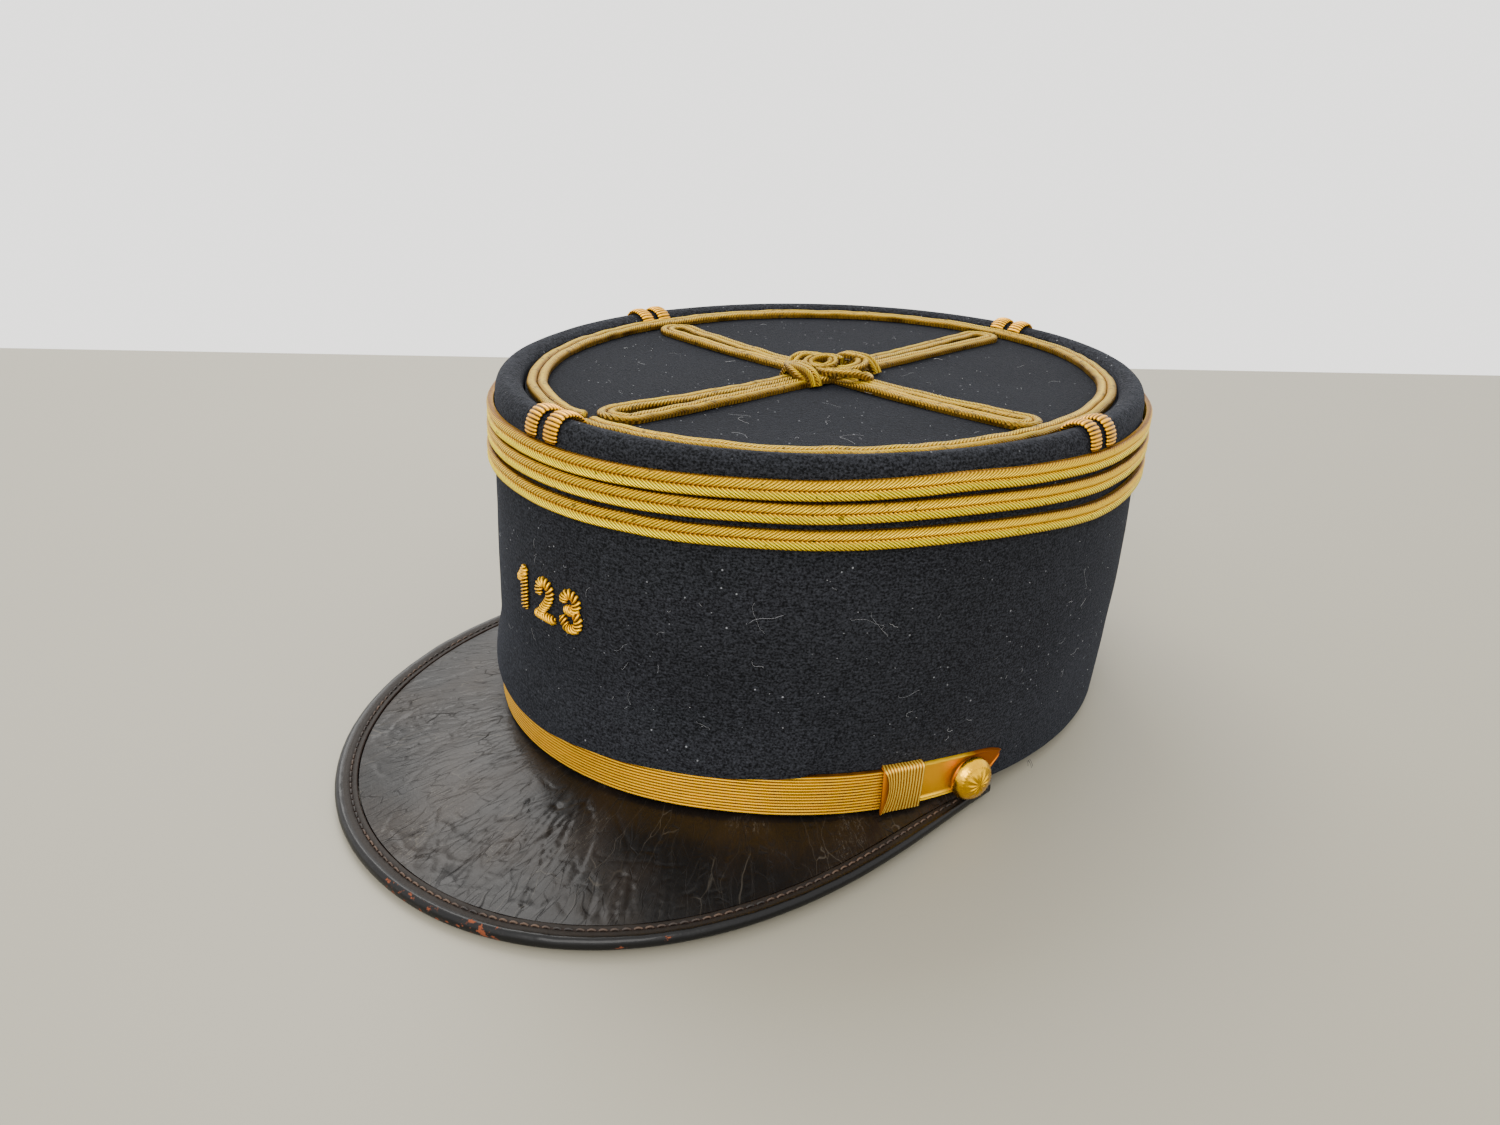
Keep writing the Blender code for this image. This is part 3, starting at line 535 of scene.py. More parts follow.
def skin(grid, loop=False, across=None, along=None):
    """Vertices, faces and map corners through rows of points; each row is a closed ring."""
    count, ring, _ = grid.shape
    spans = count if loop else count - 1
    i, j = np.meshgrid(np.arange(spans), np.arange(ring), indexing="ij")
    i_next, j_next = (i + 1) % count, (j + 1) % ring
    faces = np.stack([i * ring + j, i * ring + j_next, i_next * ring + j_next, i_next * ring + j], -1)
    if along is None:
        middle = grid.mean(axis=1)
        along = lengths(np.append(middle, middle[:1], axis=0))
    else:
        along = np.append(along, along[-1])
    if across is None:
        across = np.linspace(0.0, 1.0, ring)
    if np.ndim(across) == 1:
        across = np.tile(across, (count, 1))
    across = np.concatenate([across, across[:1]], axis=0)
    u = np.stack([along[i], along[i], along[i + 1], along[i + 1]], -1)
    v = np.stack([across[i, j], across[i, j_next], across[i + 1, j_next], across[i + 1, j]], -1)
    corners = np.stack([u, v], -1).reshape(-1, 2)
    faces = [list(face) for face in faces.reshape(-1, 4)]
    if not loop:
        for row in (0, count - 1):
            faces.append(list(range(row * ring, (row + 1) * ring)))
            corners = np.concatenate([corners, [(along[row], across[row, k]) for k in range(ring)]])
    return grid.reshape(-1, 3), faces, corners


def tube(line, radius, sides, lean=(0.0, 0.0, 1.0)):
    """A thin round tube; lean is any direction that the line doesn't take."""
    forward = unit(np.gradient(line, axis=0))
    aside = unit(np.cross(forward, lean))
    raised = np.cross(aside, forward)
    turn = np.linspace(0.0, 2.0 * math.pi, sides, endpoint=False)[None, :, None]
    return skin(line[:, None] + radius * (aside[:, None] * np.cos(turn) + raised[:, None] * np.sin(turn)))


def join(parts):
    """Several skins as one."""
    vertices, faces, corners, start = [], [], [], 0
    for some_vertices, some_faces, some_corners in parts:
        vertices.append(some_vertices)
        corners.append(some_corners)
        faces += [[k + start for k in face] for face in some_faces]
        start += len(some_vertices)
    return np.concatenate(vertices), faces, np.concatenate(corners)


def add_skin(name, made, material, stands_for=()):
    """A smooth piece in the cap's own frame that rides on the part; prints how fine it is."""
    vertices, faces, corners = made
    mesh = bpy.data.meshes.new(name)
    mesh.from_pydata([tuple(v) for v in vertices], [], [tuple(int(k) for k in f) for f in faces])
    layer = mesh.uv_layers.new(name="along")
    layer.uv.foreach_set("vector", np.asarray(corners, np.float32).ravel())
    shell = bmesh.new()
    shell.from_mesh(mesh)
    bmesh.ops.recalc_face_normals(shell, faces=shell.faces)
    shell.to_mesh(mesh)
    shell.free()
    mesh.shade_smooth()
    mesh.set_sharp_from_angle(angle=math.radians(62.0))
    piece = bpy.data.objects.new(name, mesh)
    bpy.context.scene.collection.objects.link(piece)
    piece.data.materials.append(material)
    piece.matrix_world = CAP
    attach(piece, "root")
    if stands_for:
        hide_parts(*stands_for)
    print(name, "has", sum(len(face) - 2 for face in faces), "triangles")
    return piece

# %% [markdown]
# ## Crown cloth
# The wall stands almost upright and turns over at the top into a soft rolled rim. It isn't a perfect
# tube: the cloth swells a little between its seams, and at the front it hangs over the upper edge of
# the strap. The section below goes up the outside, over the roll, down the lip and back down inside.
# %% The crown's side


def roll_point(share):
    """Inset and height on the rolled rim, from its outer foot (0) to its inner foot (1)."""
    turn = np.pi * np.asarray(share)
    outer = turn <= 0.5 * np.pi
    inset = np.where(outer, ROLL_CREST * (1.0 - np.cos(turn)),
                     ROLL_CREST - (ROLL_WIDTH - ROLL_CREST) * np.cos(turn))
    foot = np.where(outer, ROLL_HEIGHT, TOP_SINK)
    return inset, CROWN_HEIGHT - foot * (1.0 - np.sin(turn))


def ease(share):
    """A share from 0 to 1 that starts and stops gently."""
    share = np.clip(share, 0.0, 1.0)
    return share * share * (3.0 - 2.0 * share)


def hump(value, place, width):
    """1 where a value is at a place, falling smoothly to 0 past a width."""
    return np.exp(-((value - place) / width) ** 2)


FOLD_FOOT, FOLD_TOP = 0.0131, 0.0270
FOLD_OUT, FOLD_PLUMP, FOLD_FULL = 0.0019, 0.0006, 0.0004
# Angle round the crown, then how far the cloth hangs down over the strap there
FOLD_DROPS = ((-84.0, 0.0), (-58.0, 0.0020), (-34.0, 0.0028), (-4.0, 0.0038), (14.0, 0.0024),
              (30.0, 0.0015), (52.0, 0.0))


def from_table(table, column, place):
    """Values of a column at some places, easing from row to row; 0 outside the table."""
    value = np.zeros_like(place)
    for before, after in zip(table, table[1:]):
        share = ease((place - before[0]) / (after[0] - before[0]))
        inside = (place >= before[0]) & (place <= after[0])
        value = np.where(inside, before[column] + (after[column] - before[column]) * share, value)
    return value


def fold_rows(angle):
    """Heights and distances outwards of the fold that hangs over the strap, row by row."""
    drop = from_table(FOLD_DROPS, 1, (angle + 180.0) % 360.0 - 180.0)
    folded = ease(drop / FOLD_FULL)
    down = np.array([0.0, 0.5, 0.97, 1.0, 0.97])
    out = FOLD_OUT + FOLD_PLUMP * np.array([0.0, 0.0, 0.1, 0.5, 1.0])
    flat = FOLD_FOOT + 0.0003 * np.arange(1.0, 6.0)
    height = flat * (1.0 - folded) + (FOLD_FOOT + 0.0002 - drop * down) * folded
    share = np.linspace(0.0, 1.0, 15)[1:]
    above = height[:, -1:] + (FOLD_TOP - height[:, -1:]) * share
    slope = (FOLD_OUT + FOLD_PLUMP) * folded * (0.5 + 0.5 * np.cos(math.pi * share))
    return np.concatenate([height, above], axis=1), np.concatenate([out * folded, slope], axis=1)


AROUND = 400
angles = np.linspace(0.0, 360.0, AROUND, endpoint=False)[:, None]
below = np.array([0.0, 0.0006, 0.0030, 0.0060, 0.0090, 0.0115, FOLD_FOOT])
fold_heights, fold_outs = fold_rows(angles)
wall = np.linspace(FOLD_TOP, CROWN_HEIGHT - ROLL_HEIGHT, 34)[1:-1]
roll_inset, roll_height = roll_point(np.linspace(0.0, 1.0, 22))
lip_foot = CROWN_HEIGHT - LIP_DEPTH
inside_top = lip_foot - (ROLL_WIDTH - CLOTH_WALL)
inside_heights = [lip_foot, inside_top, 0.5 * inside_top, 0.0]
inside_outs = [-ROLL_WIDTH, -CLOTH_WALL, -CLOTH_WALL, -CLOTH_WALL]
every = np.ones_like(angles)
heights = np.concatenate([every * below, fold_heights, every * wall, every * roll_height,
                          every * inside_heights], axis=1)
outs_below = np.append(-0.0004, np.zeros(len(below) - 1))
outs = np.concatenate([every * outs_below, fold_outs, every * np.zeros(len(wall)),
                       -every * roll_inset, every * inside_outs], axis=1)
points, outwards = crown_point(angles, heights, outs)
bulge = swell(points, 0.045, 1.0, 0.00035) + swell(points, 0.012, 2.0, 0.00010)
bulge[:, -4:] = 0.0
bulge = bulge * np.clip(heights / 0.02, 0.0, 1.0)
points = points + outwards * bulge[..., None]
add_skin("crown_cloth", skin(points, loop=True, across=heights), side_cloth,
         ["crown_side"])

# %% [markdown]
# ## Top cloth
# The top is an oval of the same cloth, painted darker as painted shade against the extra light it catches
# facing up, sunk below the rim and slightly hollow. Slow swells of a few tenths of a millimetre keep it
# from looking machined where the light grazes it.
# %% The crown's top
TOP_RINGS = 40
shares = np.linspace(1.0, 0.02, TOP_RINGS)[None, :, None]
rim, _ = crown_point(angles, CROWN_HEIGHT, -ROLL_WIDTH - FIT_GAP)
over = rim * shares
over[..., 2] = top_height(over[..., 0], over[..., 1])
over[..., 2] += swell(over, 0.030, 3.0, 0.00030) * (1.0 - shares[..., 0] ** 4)
under = over[:, ::-1].copy()
under[..., 2] = top_height(under[..., 0], under[..., 1]) - TOP_CLOTH
both = np.concatenate([over, under], axis=1)
top_map = np.concatenate([shares[0, :, 0], shares[0, ::-1, 0]]) * 0.5 * TOP_LENGTH
add_skin("crown_top_cloth", skin(both, loop=True, across=top_map), shaded_top_cloth, ["crown_top"])

# %% [markdown]
# ## Soutache section
# Every braid shares one section: a flat back and two round ridges with a groove between them. The
# helper lays it along any line, given the direction across the braid and the one out of the cloth,
# and lets width and thickness change along the way so that ends can taper.
# %% Lay a braid
RIDGE_POINTS = 9
RANK_GROOVE, KNOT_GROOVE = 0.60, 0.50


def soutache(groove):
    """Places across (-0.5 to 0.5), rises (0 to 1) and shares across (0 to 1) of the section."""
    turn = np.linspace(math.pi, 0.0, RIDGE_POINTS)
    rise = groove + (1.0 - groove) * np.sin(turn)
    ridge = 0.25 * np.cos(turn)
    place = np.concatenate([[-0.47], -0.25 + ridge, 0.25 + ridge[1:], [0.47]])
    rises = np.concatenate([[0.0], rise, rise[1:], [0.0]])
    return place, rises, place + 0.5


def lay_braid(middle, across, out, width, thick, loop=False, groove=KNOT_GROOVE):
    """A braid's skin along a line; width and thick may be one number or one for each point."""
    place, rises, shares_across = soutache(groove)
    width = np.broadcast_to(width, len(middle))[:, None, None]
    thick = np.broadcast_to(thick, len(middle))[:, None, None]
    grid = (middle[:, None, :] + across[:, None, :] * place[None, :, None] * width
            + out[:, None, :] * rises[None, :, None] * thick)
    return skin(grid, loop=loop, across=shares_across)


def line_frame(line, loop=False):
    """The level direction across a line at each point, and the direction out of it."""
    ahead = np.roll(line, -1, axis=0) - np.roll(line, 1, axis=0) if loop else np.gradient(line, axis=0)
    forward = unit(ahead)
    aside = unit(np.stack([-forward[:, 1], forward[:, 0], np.zeros(len(line))], axis=-1))
    return aside, np.cross(forward, aside)


def turned(x, y, heading):
    """A level line, drawn towards +X, turned to a heading in degrees."""
    heading = math.radians(heading)
    return np.stack([x * math.cos(heading) - y * math.sin(heading),
                     x * math.sin(heading) + y * math.cos(heading), np.zeros_like(x)], axis=-1)


def round_end(distance, size):
    """How full a braid is at a distance from its end: rounds off over a size."""
    near = np.clip(distance / size, 0.0, 1.0)
    return np.sqrt(np.clip(1.0 - (1.0 - near) ** 2, 0.0, 1.0))


def round_both(even, size, extra, least):
    """How full a cord is at distances along it, with both ends rounded off."""
    ends = round_end(even + extra, size) * round_end(even[-1] - even + extra, size)
    return np.maximum(ends, least)


print("Points round a braid's section:", len(soutache(KNOT_GROOVE)[0]))

# %% [markdown]
# ## Rank braids
# Three braids run round the crown under the rim. They were sewn on by hand, so they aren't level:
# all three sag at the front and the lowest sags most on the wearer's left. A short table gives the
# sag of each one at a few angles, the same as in the CAD, and the braid waves a little besides.
# %% Three braids round the crown
RANK_WIDTH, RANK_THICK = 0.0049, 0.0018
RANK_BELOW_RIM, RANK_SPACE_UPPER, RANK_SPACE_LOWER = 0.0046, 0.0006, 0.0015
# Angle round the crown, then how far the upper, middle and lower braid sag there
RANK_SAGS = (
    (-40.0, 0.0016, 0.0012, 0.0008),
    (0.0, 0.0010, 0.0006, 0.0002),
    (42.0, 0.0000, -0.0002, -0.0004),
    (64.0, -0.0008, -0.0006, -0.0004),
    (98.0, 0.0012, 0.0019, 0.0027),
    (180.0, 0.0010, 0.0012, 0.0014),
    (320.0, 0.0016, 0.0012, 0.0008),
)
BRAID_STEPS = 720


def rank_top(number, angle):
    """Height of one rank braid's upper edge; number 0 is the highest braid."""
    spaces = (0.0, RANK_SPACE_UPPER, RANK_SPACE_UPPER + RANK_SPACE_LOWER)
    place = (np.asarray(angle, float) - RANK_SAGS[0][0]) % 360.0 + RANK_SAGS[0][0]
    sag = from_table(RANK_SAGS, number + 1, place)
    return CROWN_HEIGHT - RANK_BELOW_RIM - number * RANK_WIDTH - spaces[number] - sag


braid_angles = np.linspace(0.0, 360.0, BRAID_STEPS, endpoint=False)
down = np.tile([0.0, 0.0, -1.0], (BRAID_STEPS, 1))
for number in range(3):
    heights = rank_top(number, braid_angles) - 0.5 * RANK_WIDTH
    middle, outwards = crown_point(braid_angles, heights, FIT_GAP)
    wave = swell(middle, 0.018, 10.0 + number, 0.00012)
    middle[:, 2] += wave
    thick = RANK_THICK * (1.0 + swell(middle, 0.007, 20.0 + number, 0.05))
    made = lay_braid(middle, down, outwards, RANK_WIDTH, thick, loop=True, groove=RANK_GROOVE)
    add_skin(f"rank_braid_{number + 1}_gold", made, rank_gold, [f"rank_braid_{number + 1}"])

# %% [markdown]
# ## Ring braid on the top
# An oval braid lies just inside the rim. Its two ends meet at the front: the wearer's right end
# comes last, is tucked under itself and stands up in a small round bump, and the other end starts
# beside it. Rounding the ends is a matter of letting width and thickness run out along a circle.
# %% The oval ring
RING_WIDTH, RING_THICK = 0.0056, 0.0021
RING_START, RING_END = 0.4, 358.9
RING_BUMP, RING_BUMP_REACH = 0.0007, 0.004
METRES_A_DEGREE = 0.0016

ring_angles = np.linspace(RING_START, RING_END, BRAID_STEPS)
inset = ROLL_WIDTH + 2.0 * FIT_GAP + 0.5 * RING_WIDTH
middle, _ = crown_point(ring_angles, CROWN_HEIGHT, -inset)
wobble = swell(middle, 0.020, 31.0, 0.00035)
middle, outwards = crown_point(ring_angles, CROWN_HEIGHT, -inset - np.abs(wobble))
last = (RING_END - ring_angles) * METRES_A_DEGREE
first = (ring_angles - RING_START) * METRES_A_DEGREE
middle[:, 2] = top_height(middle[:, 0], middle[:, 1]) + FIT_GAP
middle[:, 2] += RING_BUMP * hump(last, 0.0, RING_BUMP_REACH)
ends = np.maximum(round_end(last + 0.0002, 0.0026) * round_end(first + 0.0006, 0.0020), 0.2)
upwards = np.tile([0.0, 0.0, 1.0], (BRAID_STEPS, 1))
thick = RING_THICK * ends * (1.0 + swell(middle, 0.006, 32.0, 0.08))
made = lay_braid(middle, -outwards, upwards, RING_WIDTH * ends, thick)
add_skin("ring_braid_gold", made, knot_gold, ["top_ring_braid"])

# %% [markdown]
# ## Arms of the knot
# From the knot in the middle, one braid runs out towards each quarter, turns round and comes back.
# The two runs lie close together near the knot and part a little towards the tip. Inside the knot
# they are pressed flat under its loops. The line is worked out in a local frame, then turned.
# %% Four arms
ARM_WIDTH, ARM_THICK = 0.0049, 0.0018
ARM_CLOSE = 0.0053
ARM_START = 0.0062
# Heading in degrees, reach from the middle, space between the runs at the tip, sideways bend
ARMS = {
    "front": (-90.0, 0.0852, 0.0090, 0.0006),
    "left": (0.0, 0.0716, 0.0078, -0.0012),
    "back": (90.0, 0.0865, 0.0080, 0.0010),
    "right": (180.0, 0.0716, 0.0086, 0.0012),
}
KNOT_REACH = 0.0150


def arm_line(reach, spread, bend):
    """Out along one run, round the tip and back along the other, level and heading along +X."""
    radius = 0.5 * spread
    bend_at = reach - radius - 0.5 * ARM_WIDTH
    out = np.linspace(ARM_START, bend_at, 90)
    share = (out - ARM_START) / (bend_at - ARM_START)
    half = 0.5 * (ARM_CLOSE + (spread - ARM_CLOSE) * share ** 2.2)
    turn = np.radians(np.linspace(-90.0, 90.0, 26)[1:-1])
    x = np.concatenate([out, bend_at + radius * np.cos(turn), out[::-1]])
    y = np.concatenate([-half, radius * np.sin(turn), half[::-1]])
    return x, y + bend * np.sin(np.pi * x / reach)


for arm, (heading, reach, spread, bend) in ARMS.items():
    x, y = arm_line(reach, spread, bend)
    line = turned(x, y, heading)
    line[:, 0] += swell(line, 0.014, 40.0, 0.0002)
    aside, upwards = line_frame(line)
    line[:, 2] = top_height(line[:, 0], line[:, 1]) + FIT_GAP
    pressed = np.clip((x - ARM_START) / (KNOT_REACH - ARM_START), 0.0, 1.0)
    thick = ARM_THICK * (0.5 + 0.5 * pressed) * (1.0 + swell(line, 0.006, 41.0, 0.10))
    made = lay_braid(line, aside, upwards, ARM_WIDTH, thick)
    add_skin(f"knot_arm_{arm}_gold", made, knot_gold, [f"knot_arm_{arm}"])

# %% [markdown]
# ## The woven middle
# In the middle one endless braid makes four small loops, each over one arm, and passes over and
# under itself between them. A curve of two turning circles draws such a figure: one turns once and
# the other three times backwards. A wave along it lifts the braid over every second crossing.
# Two short bands hold the front and back arms, and one small turn lies on top of it all.
# %% The knot's centre
KNOT_WEAVE, KNOT_CORD_WIDTH, KNOT_CORD_THICK = 0.0060, 0.0042, 0.0019
KNOT_LIFT, KNOT_STEPS = 0.00105, 480
KNOT_HOLD = 1.5
# How far out the figure's loops start to climb over the arms (shares of a reach), and how high
LOOP_REACH, LOOP_START, LOOP_CLIMB, LOOP_LIFT = 0.0105, 0.55, 0.45, 0.0016
# Heading, distance from the middle, half length, height and lean of each band over an arm
BANDS = ((-90.0, 0.0122, 0.0064, 0.0034, 0.0012), (90.0, 0.0126, 0.0068, 0.0036, -0.0010))
# The small turn on top: its middle, first and last radius, height, and its points
TURN_X, TURN_Y, TURN_FIRST, TURN_LAST, TURN_HEIGHT = -0.0012, -0.0016, 0.0052, 0.0030, 0.0032
TURN_STEPS = 110


def knot_braid(line, scale=1.0, loop=False):
    """A run of the knot's own braid along a line."""
    aside, out = line_frame(line, loop)
    return lay_braid(line, aside, out, scale * KNOT_CORD_WIDTH, KNOT_CORD_THICK, loop)


circle = KNOT_REACH - 0.5 * (KNOT_CORD_WIDTH + KNOT_WEAVE)
loops = circle + KNOT_WEAVE
turn = np.linspace(0.0, 2.0 * math.pi, KNOT_STEPS, endpoint=False)
x = 0.5 * (circle * np.cos(turn) + loops * np.cos(3.0 * turn))
y = 0.5 * (circle * np.sin(turn) - loops * np.sin(3.0 * turn))
crossing = math.sin(4.0 * KNOT_WEAVE / (circle + 3.0 * loops))
weave = np.clip(-KNOT_HOLD * np.sin(4.0 * (turn - 0.25 * math.pi)) / crossing, -1.0, 1.0)
weave = np.convolve(np.concatenate([weave[-7:], weave, weave[:7]]), np.ones(15) / 15.0, mode="valid")
over_arms = np.clip(np.hypot(x, y) / LOOP_REACH - LOOP_START, 0.0, LOOP_CLIMB)
lift = KNOT_LIFT * (1.0 + weave) + LOOP_LIFT * over_arms
line = np.stack([x, y, top_height(x, y) + FIT_GAP + lift], axis=-1)
line[:, :2] += np.stack([swell(line, 0.011, 51.0, 0.0008), swell(line, 0.011, 52.0, 0.0008)], axis=-1)
knot_parts = [knot_braid(line, loop=True)]

for heading, reach, half, height, lean in BANDS:
    share = np.linspace(-1.0, 1.0, 60)
    line = turned(reach + lean * share, half * share, heading)
    line[:, 2] = top_height(line[:, 0], line[:, 1]) + FIT_GAP + height * (1.0 - share ** 4)
    knot_parts.append(knot_braid(line))

turn = np.linspace(0.3 * math.pi, 2.35 * math.pi, TURN_STEPS)
radius = np.linspace(TURN_FIRST, TURN_LAST, TURN_STEPS)
x, y = radius * np.cos(turn) + TURN_X, radius * np.sin(turn) + TURN_Y
z = top_height(x, y) + FIT_GAP + TURN_HEIGHT + 0.0008 * np.sin(turn)
knot_parts.append(knot_braid(np.stack([x, y, z], axis=-1), scale=0.8))
add_skin("knot_centre_gold", join(knot_parts), knot_gold, ["knot_centre"])

# %% [markdown]
# ## Rim cords
# At each quarter of the cap two short cords climb from the top braid over the rim to the ring. They
# are thread wound round a flat core, so each turn is a real rib: the section's thickness swings with
# the distance along the cord, and the same swing is kept in the map for the shader.
# %% Eight short cords
RIM_CORD_WIDTH, RIM_CORD_THICK, RIM_CORD_SPACE = 0.0052, 0.0015, 0.0025
RIM_CORD_QUARTERS = {"front": -1.3, "left": 92.3, "back": 178.8, "right": 269.4}
RIB_PITCH, RIB_DEPTH = 0.00080, 0.00022


def add_rim_cord(name, angle, stands_for):
    """One wound cord over the rim at an angle."""
    foot = np.stack(roll_point(np.linspace(0.0, 0.93, 60)), axis=-1)
    foot = np.concatenate([[(0.0, rank_top(0, angle) + FIT_GAP)], foot])
    even = np.linspace(0.0, lengths(foot)[-1], 170)
    foot = points_at(foot, even)
    run, rise = unit(np.gradient(foot, axis=0)).T
    place, outwards = crown_point(angle, CROWN_HEIGHT)
    aside = np.array([-outwards[1], outwards[0], 0.0])
    turn = np.linspace(0.0, 2.0 * math.pi, 18, endpoint=False)[None, :]
    rib = 0.5 + 0.5 * np.cos(2.0 * math.pi * even / RIB_PITCH)
    ends = round_both(even, 0.0012, 0.0, 0.25)
    half_thick = 0.5 * (RIM_CORD_THICK - 2.0 * RIB_DEPTH * (1.0 - rib)) * ends
    half_wide = 0.5 * (RIM_CORD_WIDTH - 2.0 * RIB_DEPTH * (1.0 - rib)) * (0.6 + 0.4 * ends)
    off = FIT_GAP + 0.5 * RIM_CORD_THICK + half_thick[:, None] * np.sin(turn)
    level_out = rise[:, None] * off - foot[:, :1]
    wide = half_wide[:, None] * np.cos(turn)
    grid = place + outwards * level_out[..., None] + aside * wide[..., None]
    grid[..., 2] = foot[:, 1:] + run[:, None] * off
    across = np.tile(rib[:, None], (1, turn.size))
    add_skin(name, skin(grid, across=across), rim_gold, stands_for)


pitch = RIM_CORD_WIDTH + RIM_CORD_SPACE
for quarter, middle_angle in RIM_CORD_QUARTERS.items():
    for number, shift in enumerate((-0.5, 0.5), start=1):
        angle = float(angle_after(middle_angle, shift * pitch, CROWN_HEIGHT))
        add_rim_cord(f"rim_cord_{quarter}_{number}_wound", angle, [f"rim_cord_{quarter}_{number}"])

# %% [markdown]
# ## Numerals
# On the front are raised numerals in gold bullion. The real cap's number isn't copied: these are
# plain counting numbers in the same style. Each stroke follows a smooth curve through a few points,
# with a domed section, and its slanting ribs are the turns of the coil laid over the padding.
# %% Three numerals
NUMERAL_HEIGHT, NUMERAL_WIDTH, NUMERAL_PITCH = 0.0123, 0.0082, 0.0098
NUMERAL_SHIFT = 0.0006
NUMERAL_STROKE, NUMERAL_THICK, NUMERAL_RISE = 0.0028, 0.0014, 0.0478
STROKE_STEP = 0.00009
COIL_PITCH, COIL_SLANT, COIL_DEPTH = 0.00100, 0.60, 0.00080
# Strokes as shares of the numeral's width and height, from its lower left
NUMERAL_STROKES = {
    "1": (
        ((0.26, 0.76), (0.42, 0.86), (0.56, 1.00)),
        ((0.56, 0.97), (0.56, 0.50), (0.56, 0.00)),
    ),
    "2": (
        ((0.06, 0.72), (0.16, 0.92), (0.50, 1.00), (0.84, 0.90),
         (0.90, 0.68), (0.70, 0.44), (0.36, 0.22), (0.12, 0.02)),
        ((0.02, 0.00), (0.50, 0.00), (0.98, 0.00)),
    ),
    "3": (
        ((0.08, 0.84), (0.26, 0.97), (0.52, 1.00), (0.82, 0.88),
         (0.82, 0.66), (0.54, 0.53), (0.36, 0.53)),
        ((0.44, 0.55), (0.72, 0.50), (0.94, 0.34), (0.86, 0.10),
         (0.52, 0.00), (0.22, 0.03), (0.04, 0.18)),
    ),
}


def smooth_line(points):
    """Evenly spaced points on a smooth curve through a few given ones."""
    padded = np.concatenate([2 * points[:1] - points[1:2], points, 2 * points[-1:] - points[-2:-1]])
    s = np.linspace(0.0, 1.0, 24, endpoint=False)[:, None]
    spans = []
    for before, a, b, after in zip(padded, padded[1:], padded[2:], padded[3:]):
        square, cube = 2.0 * before - 5.0 * a + 4.0 * b - after, 3.0 * a - before - 3.0 * b + after
        spans.append(0.5 * (2.0 * a + (b - before) * s + square * s ** 2 + cube * s ** 3))
    line = np.concatenate(spans + [points[-1:]])
    whole = lengths(line)[-1]
    return points_at(line, np.linspace(0.0, whole, max(8, int(whole / STROKE_STEP))))


def stroke_skin(stroke, frame_of):
    """One padded, wound stroke; frame_of turns flat points and rises into places on the crown."""
    size = np.array([NUMERAL_WIDTH, NUMERAL_HEIGHT]) - NUMERAL_STROKE
    line = smooth_line((np.array(stroke) - 0.5) * size)
    start, end = line[0], line[-1]
    forward = 0.5 * NUMERAL_STROKE * unit(np.gradient(line, axis=0))
    line = np.concatenate([np.linspace(start - forward[0], start, 14)[:-1], line,
                           np.linspace(end, end + forward[-1], 14)[1:]])
    even = lengths(line)
    forward = unit(np.gradient(line, axis=0))
    aside = np.stack([-forward[:, 1], forward[:, 0]], axis=-1)
    fullness = round_both(even, 0.0015, 0.0003, 0.3)[:, None]
    turn = np.linspace(0.0, math.pi, 15)
    place = np.concatenate([np.cos(turn), [-0.9, 0.9]])
    rise = np.concatenate([0.12 + 0.88 * np.sin(turn), [0.0, 0.0]])
    coil = np.abs(np.sin(math.pi * (even[:, None] / COIL_PITCH + COIL_SLANT * place)))
    inward = COIL_DEPTH * (1.0 - coil)
    wide = place * (0.5 * NUMERAL_STROKE * fullness - inward)
    high = rise * (NUMERAL_THICK * fullness - inward)
    flat = line[:, None, :] + aside[:, None, :] * wide[..., None]
    return skin(frame_of(flat, high), across=coil ** 2.0)


for place_in_row, (digit, strokes) in enumerate(NUMERAL_STROKES.items()):
    angle = angle_after(0.0, (place_in_row - 1) * NUMERAL_PITCH - NUMERAL_SHIFT, NUMERAL_RISE)

    def on_crown(flat, high, angle=angle):
        """Flat points bent round the crown, with a rise out of the cloth."""
        degrees_a_metre = (angle_after(angle, 0.001, NUMERAL_RISE) - angle) / 0.001
        round_crown = angle + flat[..., 0] * degrees_a_metre
        return crown_point(round_crown, NUMERAL_RISE + flat[..., 1], FIT_GAP + high)[0]

    made = join([stroke_skin(stroke, on_crown) for stroke in strokes])
    add_skin(f"numeral_{digit}_bullion", made, bullion, [f"numeral_{digit}"])

# %% [markdown]
# ## Strap
# The strap crosses the front from keeper to keeper, low on the crown. Its ribs are modelled: they
# are what makes the ribbon sparkle in fine lines. The ribbon lies a little unevenly, so its edges
# wander by a tenth of a millimetre or two.
# %% The ribbed strap
STRAP_WIDTH, STRAP_RISE, STRAP_THICK = 0.0119, 0.0010, 0.0013
STRAP_RIB_DEPTH = 0.00042
# How deep the strap sags, and the middle and half width of that place in degrees
STRAP_DIP, DIP_ANGLE, DIP_SPREAD = 0.0007, 57.0, 13.0
HANDS = (("left", 1.0), ("right", -1.0))
KEEPER_ANGLE, KEEPER_LENGTH, KEEPER_THICK = 61.2, 0.0110, 0.0009


def dip(angle):
    """How far the strap sags near its keepers."""
    return STRAP_DIP * hump(np.abs(angle), DIP_ANGLE, DIP_SPREAD)


